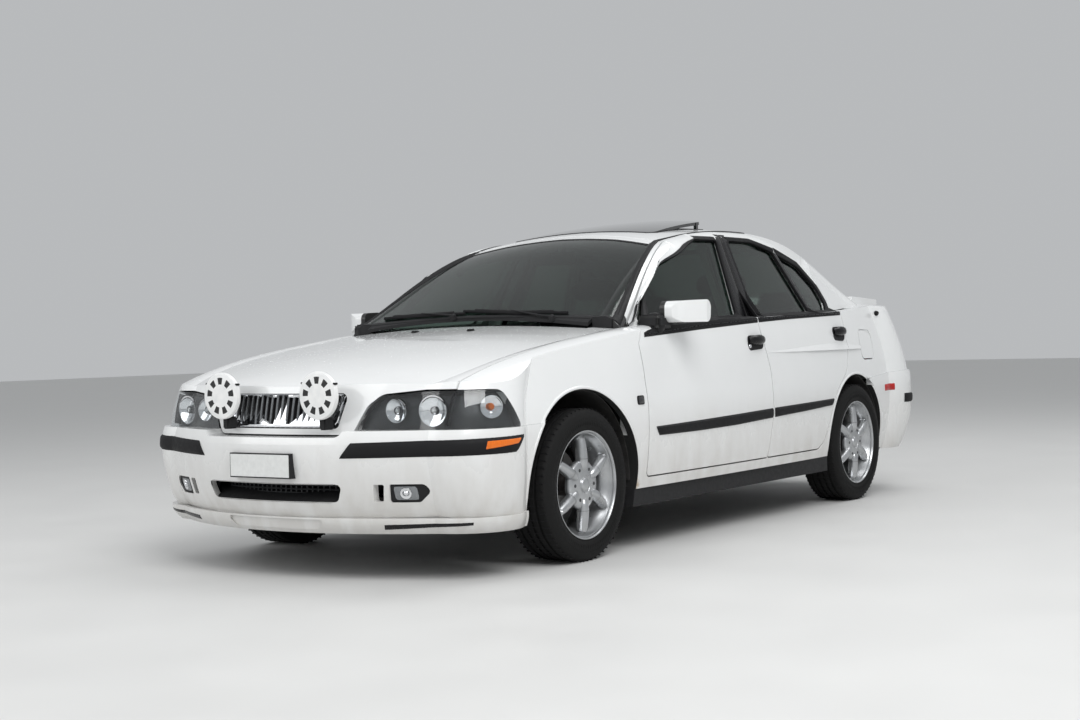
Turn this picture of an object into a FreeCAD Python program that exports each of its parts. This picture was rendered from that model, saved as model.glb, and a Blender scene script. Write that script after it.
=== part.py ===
import FreeCAD, Part
import math
import os
import sys

# Four-door saloon car, millimetres. +X points forward, +Y to the car's left, +Z up.
# The origin is on the ground, below the middle of the car's length and width.

V = FreeCAD.Vector
doc = FreeCAD.newDocument("saloon")

# Driving dimensions: alias, value, what it is
SIZES = (
    ("half_length", 2258, "half of the length over both bumpers"),
    ("front_axle", 1311, "front axle ahead of the middle"),
    ("wheelbase", 2562, "front axle to rear axle"),
    ("axle_height", 298, "wheel centre above the ground"),
    ("half_track", 736, "wheel centre plane from the middle"),
    ("tyre_width", 198, "section width of the tyre"),
    ("rim_radius", 212, "outer lip of the rim"),
    ("rim_width", 184, "rim over both lips"),
    ("hub_radius", 62, "middle disc of the wheel"),
    ("spoke_radius", 20, "round spoke"),
    ("bore_radius", 32, "centre bore of the wheel"),
    ("disc_radius", 135, "brake disc"),
    ("arch_radius", 372, "front wheel opening in the body"),
    ("rear_arch_radius", 350, "rear wheel opening in the body"),
    ("arch_shift", 10, "wheel opening ahead of the front axle"),
    ("kingpin", 645, "steering axis from the middle"),
    ("ball_pin", 8, "radius of the steering pin"),
    ("strut_y", 530, "front strut from the middle"),
    ("skin", 28, "thickness of outer panels"),
    ("frame_skin", 38, "thickness of pillars and door frames"),
    ("roof_skin", 30, "thickness of the roof"),
    ("door_plane", 735, "inner face of the doors from the middle"),
    ("glass", 5, "thickness of window glass"),
    ("glass_depth", 10, "outer glass face behind the panel face"),
    ("gap", 6, "shut gap round doors and lids"),
    ("seam", 3, "gap between fixed panels and lamps"),
    ("seat_gap", 0.3, "clearance of seated pieces"),
    ("sill_top", 291, "top of the painted sill"),
    ("sill_low", 250, "bottom of the painted sill"),
    ("trim_low", 178, "bottom of the black sill trim"),
    ("floor_top", 250, "top of the floor"),
    ("floor_sheet", 40, "thickness of the floor"),
    ("pad_low", 180, "underside of the lifting pads"),
    ("pad_front", 760, "front lifting pads ahead of the middle"),
    ("pad_rear", -760, "rear lifting pads ahead of the middle"),
    ("slats", 22, "bars of the grille"),
    ("lamp_radius", 88, "round driving lamp"),
    ("lamp_y", 247, "driving lamp from the middle"),
    ("lamp_height", 683, "driving lamp above the ground"),
    ("plate_width", 304, "width of the number plate holder"),
    ("plate_height", 92, "height of the number plate holder"),
    ("wheel_grip", 185, "radius of the steering wheel"),
)

sheet = doc.addObject("Spreadsheet::Sheet", "sizes")
for row, (alias, value, words) in enumerate(SIZES, 1):
    sheet.set(f"A{row}", alias)
    sheet.set(f"B{row}", str(value))
    sheet.set(f"C{row}", words)
    sheet.setAlias(f"B{row}", alias)
doc.recompute()


def s(alias):
    return float(sheet.get(alias))


FRONT = s("front_axle")
REAR = FRONT - s("wheelbase")
AXLE = s("axle_height")
NOSE = s("half_length")
GAP = s("gap")
SEAM = s("seam")
SEAT = s("seat_gap")
FAR = 3000.0

# Plan outlines of the painted shell. One row per height:
# height, nose x at the middle, front corner x and y, start of side x and y, widest y,
# end of side x and y, rear corner x and y, tail x at the middle
SHELL = (
    (140, 2120, 2010, 600, 1690, 775, 812, -1690, 752, -2060, 590, -2150),
    (250, 2140, 2030, 600, 1690, 800, 836, -1700, 782, -2090, 600, -2170),
    (360, 2150, 2040, 600, 1695, 816, 852, -1705, 800, -2105, 610, -2180),
    (500, 2152, 2045, 600, 1700, 822, 858, -1712, 812, -2115, 620, -2190),
    (600, 2140, 2034, 596, 1690, 812, 856, -1712, 812, -2110, 624, -2190),
    (700, 2118, 2006, 590, 1652, 796, 850, -1705, 804, -2092, 620, -2182),
    (800, 2080, 1950, 585, 1600, 782, 842, -1690, 788, -2060, 612, -2160),
    (900, 2030, 1880, 580, 1560, 766, 828, -1665, 766, -2020, 596, -2120),
    (1000, 1980, 1810, 570, 1500, 742, 806, -1640, 738, -1975, 574, -2075),
    (1100, 1930, 1770, 560, 1460, 718, 784, -1620, 708, -1930, 545, -2030),
)
# Plan outlines of the two bumpers, same columns
BUMPER = (
    (235, 2186, 2010, 640, 1690, 802, 836, -1676, 780, -2022, 604, -2134),
    (270, 2206, 2032, 645, 1700, 810, 842, -1686, 790, -2052, 610, -2166),
    (360, 2232, 2060, 650, 1705, 822, 853, -1702, 804, -2108, 620, -2224),
    (440, 2246, 2076, 652, 1708, 828, 858, -1712, 814, -2135, 626, -2254),
    (510, 2246, 2074, 650, 1708, 830, 860, -1716, 818, -2138, 628, -2258),
    (580, 2222, 2046, 642, 1704, 824, 858, -1716, 818, -2136, 628, -2254),
    (680, 2150, 1980, 620, 1690, 806, 852, -1712, 812, -2110, 622, -2226),
)
# Plan outlines of the lip under the front bumper, same columns
LIP = (
    (176, 2178, 2006, 640, 1686, 790, 826, -1690, 780, -2085, 610, -2196),
    (206, 2200, 2030, 645, 1694, 806, 836, -1690, 786, -2085, 610, -2196),
    (240, 2208, 2036, 645, 1700, 812, 842, -1690, 786, -2085, 610, -2196),
)
# Cross-sections of the top of the lower body. One row per place along the car:
# x, outer half width, shoulder height, y and height of the crown's end, crown height
CROWN = (
    (2280, 840, 430, 560, 500, 540),
    (2190, 842, 530, 570, 620, 660),
    (2110, 846, 570, 580, 680, 716),
    (1990, 852, 606, 612, 716, 764),
    (1860, 858, 656, 650, 752, 800),
    (1600, 862, 724, 676, 812, 850),
    (1300, 866, 776, 688, 858, 893),
    (950, 868, 828, 705, 900, 932),
    (500, 870, 862, 760, 928, 948),
    (-200, 872, 888, 792, 948, 962),
    (-1100, 872, 902, 782, 974, 990),
    (-1600, 860, 896, 742, 1002, 1024),
    (-1900, 845, 876, 700, 1008, 1034),
    (-2120, 835, 826, 660, 972, 1004),
    (-2330, 830, 780, 640, 880, 920),
)
# Cross-sections of the glasshouse. One row per place along the car:
# x, half width at the base, half width and height where the side ends,
# y and height of the roof's edge, roof height at the middle
GLASSHOUSE = (
    (1060, 748, 740, 830, 650, 866, 898),
    (985, 764, 748, 850, 650, 900, 938),
    (800, 792, 706, 950, 610, 1000, 1046),
    (500, 816, 648, 1130, 556, 1170, 1208),
    (200, 832, 618, 1240, 522, 1300, 1341),
    (-100, 842, 608, 1290, 516, 1353, 1392),
    (-500, 846, 604, 1300, 520, 1372, 1410),
    (-900, 842, 604, 1262, 520, 1350, 1390),
    (-1250, 826, 612, 1162, 520, 1265, 1313),
    (-1550, 800, 640, 1040, 530, 1130, 1186),
    (-1800, 770, 690, 930, 560, 1010, 1056),
    (-1950, 750, 710, 860, 600, 940, 982),
)


def line(a, b):
    return Part.LineSegment(a, b).toShape()


def arc(a, b, c):
    return Part.Arc(a, b, c).toShape()


def corner(p, q, share=0.62):
    """The middle of a rounded plan corner from p on the end to q on the side."""
    mx, my = (p[0] + q[0]) / 2, (p[1] + q[1]) / 2
    return mx + (p[0] - mx) * share, my + (q[1] - my) * share


def plan_wire(row, inset):
    z, nose, fcx, fcy, fsx, fsy, wide, rsx, rsy, rcx, rcy, tail = row
    nose, fcx, tail, rcx = nose - inset, fcx - inset, tail + inset, rcx + inset
    fsy, wide, rsy = fsy - inset, wide - inset, rsy - inset

    def at(x, y):
        return V(x, y, z)

    fm, rm = corner((fcx, fcy), (fsx, fsy)), corner((rcx, rcy), (rsx, rsy))
    middle = -100
    return Part.Wire([
        arc(at(fcx, -fcy), at(nose, 0), at(fcx, fcy)),
        arc(at(fcx, fcy), at(*fm), at(fsx, fsy)),
        arc(at(fsx, fsy), at(middle, wide), at(rsx, rsy)),
        arc(at(rsx, rsy), at(*rm), at(rcx, rcy)),
        arc(at(rcx, rcy), at(tail, 0), at(rcx, -rcy)),
        arc(at(rcx, -rcy), at(rm[0], -rm[1]), at(rsx, -rsy)),
        arc(at(rsx, -rsy), at(middle, -wide), at(fsx, -fsy)),
        arc(at(fsx, -fsy), at(fm[0], -fm[1]), at(fcx, -fcy)),
    ])


def crown_wire(row, inset):
    x, w, zs, yc, ze, zc = row
    w, zs, yc, ze, zc = w - inset, zs - inset, yc - inset / 2, ze - inset, zc - inset
    share = 0.40
    my, mz = (w + yc) / 2, (zs + ze) / 2
    by, bz = my + (w - my) * share, mz + (ze - mz) * share
    low = -60 - inset

    def at(y, z):
        return V(x, y, z)

    return Part.Wire([
        line(at(-w, low), at(w, low)),
        line(at(w, low), at(w, zs)),
        arc(at(w, zs), at(by, bz), at(yc, ze)),
        arc(at(yc, ze), at(0, zc), at(-yc, ze)),
        arc(at(-yc, ze), at(-by, bz), at(-w, zs)),
        line(at(-w, zs), at(-w, low)),
    ])


def glasshouse_wire(row, inset):
    x, base, yt, zt, yc, ze, zc = row
    base, yt, zt = base - inset * 1.1, yt - inset * 1.1, zt - inset * 0.4
    yc, ze, zc = yc - inset * 0.6, ze - inset, zc - inset
    ny, nz = ze - zt, yt - yc
    bulge = 0.17
    by, bz = (yt + yc) / 2 + ny * bulge, (zt + ze) / 2 + nz * bulge
    low = 780 - inset

    def at(y, z):
        return V(x, y, z)

    return Part.Wire([
        line(at(-base, low), at(base, low)),
        line(at(base, low), at(yt, zt)),
        arc(at(yt, zt), at(by, bz), at(yc, ze)),
        arc(at(yc, ze), at(0, zc), at(-yc, ze)),
        arc(at(-yc, ze), at(-by, bz), at(-yt, zt)),
        line(at(-yt, zt), at(-base, low)),
    ])


FORMS = {}


def lower_form(inset):
    """The painted lower body as one solid, drawn in by inset."""
    if ("lower", inset) not in FORMS:
        rows = [plan_wire(r, inset) for r in SHELL]
        FORMS["lower", inset] = Part.makeLoft(rows, True, False).common(crown_form(inset))
    return FORMS["lower", inset]


def crown_form(inset):
    return Part.makeLoft([crown_wire(r, inset) for r in CROWN], True, False)


def glasshouse_form(inset):
    """The glasshouse as one solid, drawn in by inset."""
    if ("house", inset) not in FORMS:
        rows = [glasshouse_wire(r, inset) for r in GLASSHOUSE]
        FORMS["house", inset] = Part.makeLoft(rows, True, False)
    return FORMS["house", inset]


def bumper_form(inset, rows=BUMPER):
    stretch = 20 if inset else 0
    made = []
    for i, r in enumerate(rows):
        z = r[0] + (-stretch if i == 0 else stretch if i == len(rows) - 1 else 0)
        made.append(plan_wire((z,) + r[1:], inset))
    return Part.makeLoft(made, True, False)


def ring(points, place):
    """A closed outline. A point is (a, b), or (a, b, r) to round it by radius r."""
    n = len(points)
    edges, last = [], None
    starts = []
    for i in range(n):
        p = points[i]
        a, b = points[i - 1], points[(i + 1) % n]
        r = p[2] if len(p) > 2 else 0
        if not r:
            starts.append((p[:2], None, p[:2]))
            continue
        ua, ub = (a[0] - p[0], a[1] - p[1]), (b[0] - p[0], b[1] - p[1])
        la, lb = math.hypot(*ua), math.hypot(*ub)
        ua, ub = (ua[0] / la, ua[1] / la), (ub[0] / lb, ub[1] / lb)
        half = math.acos(max(-1, min(1, ua[0] * ub[0] + ua[1] * ub[1]))) / 2
        t = min(r / math.tan(half), 0.49 * la, 0.49 * lb)
        rr = t * math.tan(half)
        bis = (ua[0] + ub[0], ua[1] + ub[1])
        lbis = math.hypot(*bis)
        reach = rr / math.sin(half) - rr
        mid = (p[0] + bis[0] / lbis * reach, p[1] + bis[1] / lbis * reach)
        starts.append(((p[0] + ua[0] * t, p[1] + ua[1] * t), mid, (p[0] + ub[0] * t, p[1] + ub[1] * t)))
    for i in range(n):
        p0, mid, p1 = starts[i]
        if mid:
            edges.append(arc(place(*p0), place(*mid), place(*p1)))
        q0 = starts[(i + 1) % n][0]
        if math.hypot(p1[0] - q0[0], p1[1] - q0[1]) > 1e-6:
            edges.append(line(place(*p1), place(*q0)))
    return Part.Wire(edges)


def side_prism(points, y0=300.0, y1=1300.0, grow=0.0):
    """An outline in the side view, (x, z), run across the car from y0 to y1."""
    return prism(ring(points, lambda x, z: V(x, y0, z)), V(0, y1 - y0, 0), grow)


def front_prism(points, x0, x1, grow=0.0):
    """An outline in the front view, (y, z), run along the car from x0 to x1."""
    return prism(ring(points, lambda y, z: V(x0, y, z)), V(x1 - x0, 0, 0), grow)


def plan_prism(points, z0, z1, grow=0.0):
    """An outline in the plan view, (x, y), run up from z0 to z1."""
    return prism(ring(points, lambda x, y: V(x, y, z0)), V(0, 0, z1 - z0), grow)


def prism(wire, run, grow):
    face = Part.Face(wire)
    if grow:
        face = face.makeOffset2D(grow)
    return face.extrude(run)


def box(x0, x1, y0, y1, z0, z1):
    return Part.makeBox(x1 - x0, y1 - y0, z1 - z0, V(x0, y0, z0))


def cylinder(r, a, b):
    """A round bar of radius r from point a to point b."""
    d = b.sub(a)
    return Part.makeCylinder(r, d.Length, a, d)


def mirrored(shape):
    return shape.mirror(V(0, 0, 0), V(0, 1, 0))


def both(shape):
    return Part.makeCompound([shape, mirrored(shape)])


def mirror_points(points):
    """A symmetric front outline from its left half, listed from low to high."""
    return list(points) + [(-p[0],) + tuple(p[1:]) for p in reversed(points)]


def solids(shape, least=2000.0):
    """The solids of a shape, without slivers."""
    kept = [x for x in shape.Solids if x.Volume > least]
    return kept[0] if len(kept) == 1 else Part.makeCompound(kept)


made = {}


def keep(label, shape, least=2000.0):
    shape = solids(shape, least)
    obj = doc.addObject("Part::Feature", label)
    obj.Label = label
    obj.Shape = shape
    made[label] = obj
    return shape


# Outlines in the side view, (x, z) with an optional corner radius.
FRONT_DOOR = (
    (880, 297, 20), (862, 583), (868, 743, 300), (880, 838), (842, 905, 30), (655, 1066, 200),
    (380, 1243, 200), (150, 1335, 200), (10, 1356, 200), (-256, 1360), (-178, 945), (-172, 900, 60),
    (-243, 690, 200), (-250, 520, 200), (-195, 297, 10),
)
REAR_DOOR = (
    (-195 - GAP, 297, 10), (-250 - GAP, 520, 200), (-243 - GAP, 690, 200), (-172 - GAP, 900, 60),
    (-178 - GAP, 945), (-256 - GAP, 1360), (-560, 1361, 200), (-785, 1320, 200), (-1060, 1240, 200),
    (-1200, 1115, 80), (-1215, 1030, 60), (-1180, 955, 40), (-1180, 800, 120), (-1130, 668, 120),
    (-1000, 578, 100), (-915, 460, 150), (-835, 330, 100), (-770, 297, 60),
)
FRONT_WINDOW = (
    (-85, 958, 12), (-202, 1316, 12), (10, 1314, 200), (145, 1292, 200), (365, 1203, 200), (640, 1026, 60),
    (745, 930, 12),
)
REAR_WINDOW = (
    (-262, 962, 12), (-312, 1318, 12), (-550, 1318, 200), (-768, 1278, 20), (-880, 974, 12),
)
QUARTER_WINDOW = (
    (-915, 976, 8), (-806, 1266, 12), (-1030, 1206, 120), (-1150, 1104, 60), (-1166, 1030, 40),
    (-1130, 984, 20),
)
FLAP = ((-1540, 727, 35), (-1540, 872, 35), (-1366, 876, 35), (-1366, 727, 35))
# Outlines in the plan view, (x, y): left half
BONNET_PLAN = (
    (948, 0), (938, 700, 30), (1300, 722, 400), (1563, 727, 400), (1800, 716, 400), (1990, 708), (2400, 708), (2400, 0),
)
BOOT_PLAN = ((-1752, 0), (-1738, 600, 40), (-1900, 640, 200), (-2400, 640), (-2400, 0))
SCREEN_PLAN = ((915, 0), (905, 400, 200), (860, 694, 20), (203, 504, 20), (160, 300, 200), (150, 0))
BACKLIGHT_PLAN = ((-1165, 0), (-1180, 300, 200), (-1212, 496, 40), (-1690, 588, 40), (-1735, 300, 200), (-1745, 0))
ROOF_PLAN = ((175, 0), (175, 900), (-1195, 900), (-1195, 0))
RAIL = ((1100, 742), (842, 727), (203, 549), (0, 546), (-256, 545), (-900, 547), (-1290, 566))
# Outlines in the front and rear view, (y, z): left half, low to high
BONNET_FRONT = (
    (0, 536), (331, 536, 30), (348, 566), (386, 640, 60), (438, 682, 60), (600, 697), (900, 697), (900, 1200), (0, 1200),
)
LAMP_FRONT = ((354, 553), (390, 632, 60), (442, 676, 60), (600, 691), (900, 691), (900, 553))
LAMP_SIDE = ((2400, 500), (1760, 553, 10), (1850, 691, 40), (2400, 720))
BOOT_FRONT = ((0, 668), (478, 668, 20), (498, 918, 20), (640, 940), (640, 1300), (0, 1300))
TAIL_FRONT = ((490, 662), (510, 912, 20), (660, 934, 20), (900, 916), (900, 662))
TAIL_SIDE = ((-2060, 662), (-2020, 934), (-2400, 934), (-2400, 662))
GRILLE_FRONT = ((272, 558, 20), (306, 688, 25))
BUMPER_TOP = ((2400, 100), (2400, 552.7), (1700, 552.7), (1300, 555), (1300, 100))
LEDGE = ((2400, 505), (2400, 552.7), (1760, 552.7), (1760, 505))
REAR_BUMPER_TOP = ((-2400, 100), (-2400, 655), (-1800, 652, 200), (-1200, 605), (-1200, 100))


def whole(points):
    """A plan outline mirrored across the middle line."""
    inner = [p for p in points if p[1] != 0]
    ends = [p for p in points if p[1] == 0]
    return [ends[0]] + inner + [ends[1]] + [(p[0], -p[1]) + tuple(p[2:]) for p in reversed(inner)]


def whole_front(points):
    inner = [p for p in points if p[0] != 0]
    ends = [p for p in points if p[0] == 0]
    return [ends[0]] + inner + [ends[1]] + [(-p[0],) + tuple(p[1:]) for p in reversed(inner)]


SKIN, FRAME_SKIN, ROOF_SKIN = s("skin"), s("frame_skin"), s("roof_skin")
DOOR_PLANE = s("door_plane")
outer = lower_form(0)
inner = lower_form(SKIN)
lower_skin = outer.cut(inner)
house = glasshouse_form(0)
house_inner = glasshouse_form(FRAME_SKIN)
house_skin = house.cut(house_inner)
LEFT = box(-FAR, FAR, 0, FAR, -100, FAR)


def front_arch(grow=0.0, y0=380.0):
    """The round front wheel opening on the left side."""
    x = FRONT + s("arch_shift")
    return cylinder(s("arch_radius") + grow, V(x, y0, AXLE), V(x, 1000, AXLE))


def rear_arch(grow=0.0, y0=380.0):
    """The round rear wheel opening on the left side."""
    return cylinder(s("rear_arch_radius") + grow, V(REAR, y0, AXLE), V(REAR, 1000, AXLE))


arches = Part.makeCompound([front_arch(), rear_arch()])

# The left side of the body between the door plane and the outer face, solid through
side_block = outer.common(box(-1460, 990, DOOR_PLANE, 900, s("sill_low"), 1100))
# Everything outboard of the line along the door tops
outboard = [V(x, y, 100) for x, y in RAIL] + [V(-1290, 1000, 100), V(1100, 1000, 100)]
outboard = Part.Face(Part.makePolygon(outboard + outboard[:1]))
door_top = outboard.extrude(V(0, 0, 1500))
inside_rail = outboard.makeOffset2D(GAP).extrude(V(0, 0, 1500))
side_wall = side_block.fuse(house_skin.common(door_top).cut(outer))


def door(label, outline, windows):
    shape = side_wall.common(side_prism(outline))
    for w in windows:
        shape = shape.cut(side_prism(w))
    return keep(label, shape, 50000)


def pane(label, windows):
    depth, t = s("glass_depth"), s("glass")
    layer = glass_outer.cut(glass_inner).common(door_top)
    shapes = [layer.common(side_prism(w, grow=-s("seat_gap"))) for w in windows]
    return keep(label, Part.makeCompound([x for sh in shapes for x in sh.Solids]), 100)


glass_outer = glasshouse_form(s("glass_depth"))
glass_inner = glasshouse_form(s("glass_depth") + s("glass"))

door_left_front = door("door_front_left", FRONT_DOOR, (FRONT_WINDOW,))
door_left_rear = door("door_rear_left", REAR_DOOR, (REAR_WINDOW, QUARTER_WINDOW))
pane_lf = pane("glass_front_left", (FRONT_WINDOW,))
pane_lr = pane("glass_rear_left", (REAR_WINDOW, QUARTER_WINDOW))
keep("door_front_right", mirrored(door_left_front))
keep("door_rear_right", mirrored(door_left_rear))
keep("glass_front_right", mirrored(pane_lf), 100)
keep("glass_rear_right", mirrored(pane_lr), 100)

# Bonnet, with the nose round the grille
bonnet_plan = plan_prism(whole(BONNET_PLAN), 400, 1300)
bonnet_front = front_prism(whole_front(BONNET_FRONT), 800, 2400)
grille_hole = front_prism(mirror_points(GRILLE_FRONT), 2000, 2300)
bonnet = lower_skin.common(bonnet_plan).common(bonnet_front).cut(grille_hole)
keep("bonnet", bonnet, 100000)

# Headlamps
lamp = lower_skin.common(front_prism(LAMP_FRONT, 1500, 2400)).common(side_prism(LAMP_SIDE, 0, 1000))
keep("headlamps", both(lamp))

# Front wings
wing = lower_skin.common(LEFT).common(side_prism(((884, s("sill_low")), (884, 1100), (2300, 1100), (2300, s("sill_low")))))
wing = wing.cut(side_prism(FRONT_DOOR, grow=GAP)).cut(plan_prism(whole(BONNET_PLAN), 400, 1300, GAP))
wing = wing.cut(front_prism(LAMP_FRONT, 1500, 2400, SEAM).common(side_prism(LAMP_SIDE, 0, 1000, SEAT)))
wing = wing.cut(side_prism(BUMPER_TOP, grow=SEAT)).cut(front_arch())
wing = solids(wing.cut(box(800, 2400, 0, 600, 0, 1200)), 200000)
keep("front_wings", both(wing))

# Bumpers
bumper_skin = bumper_form(0).cut(bumper_form(SKIN))
ledge = bumper_form(0).cut(lower_form(SKIN)).common(side_prism(LEDGE, -1000, 1000))
front_bumper = bumper_skin.common(side_prism(BUMPER_TOP, -1000, 1000)).fuse(ledge)
front_bumper = front_bumper.cut(front_prism(whole_front(BONNET_FRONT), 1700, 2400, GAP))
front_bumper = front_bumper.cut(both(front_arch())).common(box(FRONT + 200, 2400, -1000, 1000, 100, 700))
INTAKE = ((312, 294, 25), (338, 359, 15))
SLOT = ((447, 298, 6), (456, 360, 6), (494, 360, 6), (482, 298, 6))
FOG = ((502, 294, 8), (512, 361, 8), (630, 361, 22), (648, 334, 22), (606, 294, 22))
DISH = ((205, 190, 20), (255, 229, 12))
front_bumper = front_bumper.cut(front_prism(mirror_points(INTAKE), 2000, 2300))
front_bumper = front_bumper.cut(both(front_prism(SLOT, 1900, 2300))).cut(both(front_prism(FOG, 1900, 2300)))
keep("front_bumper", front_bumper, 100000)
fog_layer = bumper_form(6).cut(bumper_form(20))
keep("fog_lamps", both(fog_layer.common(front_prism(FOG, 1900, 2300, -s("seat_gap")))))
lip = bumper_form(0, LIP).cut(bumper_form(22, LIP))
lip = lip.common(box(FRONT + 200, 2400, -1000, 1000, 170, 235 - s("seat_gap"))).cut(both(front_arch()))
lip = lip.cut(front_prism(mirror_points(DISH), 2000, 2300).cut(bumper_form(7, LIP)))
keep("front_lip", lip)
rear_bumper = bumper_skin.common(side_prism(REAR_BUMPER_TOP, -1000, 1000))
rear_bumper = rear_bumper.cut(both(rear_arch())).common(box(-2400, REAR - 200, -1000, 1000, 100, 700))
keep("rear_bumper", rear_bumper, 100000)

# Boot lid and tail lamps
boot = lower_skin.common(plan_prism(whole(BOOT_PLAN), 400, 1300))
boot = boot.common(front_prism(whole_front(BOOT_FRONT), -2400, -1700))
keep("boot_lid", boot, 100000)
tail = lower_skin.common(front_prism(TAIL_FRONT, -2400, -1900)).common(side_prism(TAIL_SIDE, 0, 1000))
keep("tail_lamps", both(tail))

# Painted body side: sill, pillars, roof rail and rear wing, on the left
screen_cut = plan_prism(whole(SCREEN_PLAN), 700, 1700, SEAM)
back_cut = plan_prism(whole(BACKLIGHT_PLAN), 700, 1700, SEAM)
boot_cut = plan_prism(whole(BOOT_PLAN), 400, 1300, GAP)
door_space = side_prism(FRONT_DOOR, grow=GAP).fuse(side_prism(REAR_DOOR, grow=GAP)).common(inside_rail)
roof_space = plan_prism(whole(ROOF_PLAN), 1000, 1600, SEAM)
upper = house_skin.common(LEFT).cut(screen_cut).cut(back_cut).cut(roof_space).cut(outer)
upper = upper.cut(box(884, 2000, 0, 1000, 700, 1000)).cut(box(840, 2000, 0, 600 + SEAT, 850, 1100))
# The rail below the roof's edge, and the pillar between the doors
under_roof = glasshouse_form(ROOF_SKIN + s("seat_gap"))
rail = under_roof.cut(glasshouse_form(ROOF_SKIN + 30)).common(box(-1320, 290, 455, 700, 1000, 1600))
rail = rail.cut(screen_cut).cut(back_cut)
pillar_side = side_prism(((-115, 245), (-140, 900), (-215, 1420), (-330, 1420), (-300, 900), (-290, 245)), 300, 1000)
POST = DOOR_PLANE - 29
deep = glasshouse_form(FRAME_SKIN + 54)
post = glasshouse_form(FRAME_SKIN + 26).common(box(-400, 0, 300, 900, 950, 1600))
post_head = glasshouse_form(FRAME_SKIN + GAP).common(box(-400, 0, 300, 900, 1285, 1600))
foot = box(-400, 0, 665, POST, s("sill_low"), 975)
pillar = post.fuse(post_head).cut(deep).fuse(foot.common(house_inner.fuse(inner))).common(pillar_side)
front_stop = box(-230, -160, POST - 5, DOOR_PLANE - SEAT, 570, 620)
# The hinge pillar between the front wing and the windscreen, and the sill's inner box
hinge_post = lower_form(SKIN + SEAT).common(box(895, 960, POST - 20, 900, s("sill_low"), 880))
head_low = lower_form(SKIN + SEAT).common(box(884, 935, 640, POST, 700, 1000))
head_high = house.common(box(845, 884 - SEAT, 640, POST, 700, 1000))
hinge_post = hinge_post.fuse(head_low).fuse(head_high.cut(screen_cut))
sill_box = box(-880, 960, POST - 20, 760, s("sill_low"), s("sill_top"))
lock_post = box(-1460, -900, POST - 20, POST, s("sill_low"), 950)
lock_post = lock_post.fuse(box(-1460, -1230, POST - 20, 760, 640, 950))
rear_stop = box(-1110, -1060, POST - 5, DOOR_PLANE - SEAT, 740, 790)
quarter_box = side_prism(((-1460, 240), (-1460, 1100), (-2300, 1100), (-2300, 240)), 0, 1000)
quarter = lower_skin.common(LEFT).common(quarter_box)
quarter = quarter.cut(box(-2300, -1460, 0, 560, 0, 1100))
side = side_block.fuse([quarter, upper, rail]).cut(door_space)
side = side.fuse([pillar, sill_box, hinge_post, lock_post, front_stop, rear_stop])
side = side.cut(arches).cut(side_prism(REAR_BUMPER_TOP, 0, 1000, SEAT)).cut(boot_cut)
side = side.cut(front_prism(TAIL_FRONT, -2400, -1900, SEAT).common(side_prism(TAIL_SIDE, 0, 1000, SEAT)))
side = side.cut(box(884 - SEAT, 3000, 0, 1000, 0, 2000).cut(lower_form(SKIN + SEAT)))
side = solids(side, 100000)
FLAP_BACK = 787
flap_seat = side_prism(FLAP, FLAP_BACK - GAP, 1000, GAP)
flap_seat = flap_seat.cut(box(-1465, -1440, 700, FLAP_BACK - SEAT, 790, 810))
flap = lower_skin.common(side_prism(FLAP, FLAP_BACK, 1000))
keep("fuel_flap", flap, 100)
keep("body_side_left", side.cut(flap_seat), 100000)
keep("body_side_right", mirrored(side), 100000)

# Roof, windscreen and backlight
roof = house.cut(glasshouse_form(ROOF_SKIN)).common(plan_prism(whole(ROOF_PLAN), 1000, 1600))
roof = roof.cut(screen_cut).cut(back_cut).cut(inside_rail).cut(mirrored(inside_rail))
HATCH = ((30, 395, 40), (-450, 395, 40), (-450, -395, 40), (30, -395, 40))
roof = roof.cut(plan_prism(HATCH, 1200, 1600))
keep("roof", roof, 100000)
glass_layer = glasshouse_form(4).cut(glasshouse_form(4 + s("glass")))
keep("windscreen", glass_layer.common(plan_prism(whole(SCREEN_PLAN), 900, 1700, SEAM - SEAT)), 1000)
keep("rear_window", glass_layer.common(plan_prism(whole(BACKLIGHT_PLAN), 1040, 1700, SEAM - SEAT)), 1000)
cowl = house.cut(glasshouse_form(14)).common(box(700, 930, -600, 600, 900, 1100)).cut(screen_cut)
keep("cowl", cowl.common(box(850, 930, -600, 600, 900, 1100)))
hatch = house.cut(glasshouse_form(14)).common(plan_prism(HATCH, 1200, 1600, -SEAM))
hatch.rotate(V(24, 0, 1360), V(0, 1, 0), 4.6)
hatch.translate(V(0, 0, 2))
links = [box(-400, -380, y, y + 14, 1345, 1420) for y in (-395 + SEAT, 381 - SEAT)]
keep("sunroof_panel", hatch.fuse(links))


# Floor, firewall, engine bay and boot
TOP = s("floor_top")
SIDE = POST - 20 - SEAT
wheel_space = both(front_arch(8, 470).fuse(rear_arch(8, 545)))
tunnel = box(-1180, 935, -120, 120, TOP, TOP + 120)
hollow = box(-1190, 970, -104, 104, 0, TOP + 104)
floor = box(-1180, 960, -SIDE, SIDE, TOP - s("floor_sheet"), TOP).fuse(tunnel)
kick_up = box(-1180, -1150, -SIDE, SIDE, TOP - 40, 520)
well = V(-1760, 150, 300)
boot_floor = box(-2120, -1180, -540, 540, 490, 520).cut(Part.makeCylinder(250, 300, well))
well_shell = Part.makeCylinder(260, 220, well).cut(Part.makeCylinder(245, 220, well + V(0, 0, 18)))
pads = [both(box(x - 40, x + 40, SIDE - 70, SIDE, s("pad_low"), TOP - 40)) for x in (s("pad_front"), s("pad_rear"))]
floor = floor.fuse([kick_up, boot_floor, well_shell] + pads).cut(hollow).cut(wheel_space)
keep("floor", floor)
tail_panel = lower_form(SKIN + SEAT).common(box(-2300, -2060, -600, 600, 520 + SEAT, 640)).cut(lower_form(SKIN + 30))
stops = both(box(-2300, -2060, 380, 420, 600, 700)).common(lower_form(SKIN + SEAT)).cut(lower_form(SKIN + 30))
shelf_panel = box(-1700, -1262, -560, 560, 940, 956)
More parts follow.
